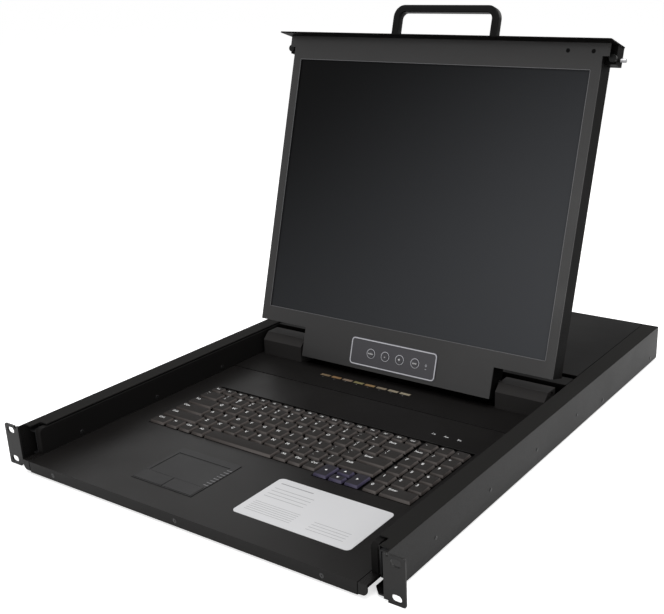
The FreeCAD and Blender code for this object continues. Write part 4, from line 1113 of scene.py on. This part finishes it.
def floor_finish():
    material, nodes, links, shader = new_material("studio_floor")
    put(shader, {"Base Color": (0.9, 0.9, 0.9, 1), "Roughness": 0.9, "Specular IOR Level": 0.0})
    glow = nodes.new("ShaderNodeEmission")
    put(glow, {"Strength": 0.62})
    seen = nodes.new("ShaderNodeLightPath")
    chosen = nodes.new("ShaderNodeMixShader")
    dark = nodes.new("ShaderNodeEmission")
    put(dark, {"Strength": 0.0})
    total = nodes.new("ShaderNodeAddShader")
    links.new(seen.outputs["Is Camera Ray"], chosen.inputs["Fac"])
    links.new(dark.outputs["Emission"], chosen.inputs[1])
    links.new(glow.outputs["Emission"], chosen.inputs[2])
    links.new(shader.outputs["BSDF"], total.inputs[0])
    links.new(chosen.outputs["Shader"], total.inputs[1])
    links.new(total.outputs["Shader"], nodes["Material Output"].inputs["Surface"])
    return material


square = middle_box(2 * FLOOR_HALF, 2 * FLOOR_HALF)
floor_mesh = new_mesh("studio_floor", [(x, y, FLOOR_Z) for x, y in square], [(0, 1, 2, 3)])
floor_mesh.materials.append(floor_finish())
new_object("studio_floor", floor_mesh)
print("floor at", round(FLOOR_Z, 4))

# %% [markdown]
# Round the drawer everything is white. A brighter world would give that too,
# but it would wash out the black finishes. Light Path separates the two: what
# the camera and the reflections see is white, and what lights the object stays
# moderate.

# %% The white surround
world = bpy.data.worlds.new("studio_world")
world.use_nodes = True
bpy.context.scene.world = world
nodes, links = world.node_tree.nodes, world.node_tree.links
around = nodes["Background"]
put(around, {"Color": (1, 1, 1, 1), "Strength": 0.42})
white = nodes.new("ShaderNodeBackground")
put(white, {"Color": (1, 1, 1, 1), "Strength": 1.0})
seen = nodes.new("ShaderNodeLightPath")
direct = seen.outputs["Is Camera Ray"]
for kind in ("Is Glossy Ray", "Is Transmission Ray"):
    either = nodes.new("ShaderNodeMath")
    either.operation = "MAXIMUM"
    links.new(direct, either.inputs[0])
    links.new(seen.outputs[kind], either.inputs[1])
    direct = either.outputs["Value"]
blend = nodes.new("ShaderNodeMixShader")
links.new(direct, blend.inputs["Fac"])
links.new(around.outputs["Background"], blend.inputs[1])
links.new(white.outputs["Background"], blend.inputs[2])
links.new(blend.outputs["Shader"], nodes["World Output"].inputs["Surface"])
print("nodes of the world", len(nodes))

# %% [markdown]
# Dark satin parts take most of their looks from what they reflect, so big
# lamps matter more than strong ones. Sun lamps would be simpler but give hard
# glints. Four area lamps light the drawer from above, from the right, from the
# front and, faintly, from behind.

# %% Soft lamps
def soft_lamp(name, place, aim, size, power):
    """A rectangular lamp; place, aim and size in metres, power in watts."""
    data = bpy.data.lights.new(name, "AREA")
    data.shape = "RECTANGLE"
    data.size, data.size_y = size
    data.energy = power
    lamp = new_object(name, data)
    towards = (Vector(aim) - Vector(place)).to_track_quat("-Z", "Y")
    lamp.matrix_world = Matrix.Translation(place) @ towards.to_matrix().to_4x4()


soft_lamp("lamp_above", (0.3, 0.2, 2.2), (0.0, 0.3, 0.0), (1.8, 1.6), 34.0)
soft_lamp("lamp_right", (1.7, -0.9, 0.9), (0.0, 0.25, 0.1), (0.9, 1.1), 9.0)
soft_lamp("lamp_front", (-0.5, -1.8, 0.75), (0.0, 0.2, 0.05), (1.2, 0.7), 6.0)
soft_lamp("lamp_rear", (1.0, 2.3, 0.9), (0.0, 0.45, 0.15), (1.0, 0.8), 7.0)
print("lamps", len(bpy.data.lights))

# %% [markdown]
# The camera stands to the right and above, where the picture of the drawer was
# taken. It could be set by eye. Its angle, distance and frame shift were
# worked out from straight edges of the rack ears, the tray and the screen
# instead, so that rendering and picture can be laid over each other.

# %% The camera
AZIMUTH, ELEVATION, ROLL = (math.radians(angle) for angle in (32.796, 20.118, -0.929))
CAMERA_AT = (0.6051, -0.5368, 0.4394)
level = math.cos(ELEVATION)
back = Vector((math.sin(AZIMUTH) * level, -math.cos(AZIMUTH) * level, math.sin(ELEVATION)))
right = (-back).cross(Vector((0, 0, 1))).normalized()
up = right.cross(-back)
turned_right = right * math.cos(ROLL) + up * math.sin(ROLL)
turned_up = up * math.cos(ROLL) - right * math.sin(ROLL)
camera_data = bpy.data.cameras.new("camera")
camera_data.sensor_width = 36.0
camera_data.lens = 53.777
camera_data.shift_x = -0.13420
camera_data.shift_y = 0.04559
camera_data.clip_end = 200.0
camera = new_object("camera", camera_data)
pose = Matrix((turned_right, turned_up, back)).transposed().to_4x4()
camera.matrix_world = Matrix.Translation(CAMERA_AT) @ pose
bpy.context.scene.camera = camera
bpy.context.scene.view_settings.view_transform = "Standard"
print("camera at", [round(v, 3) for v in camera.location])
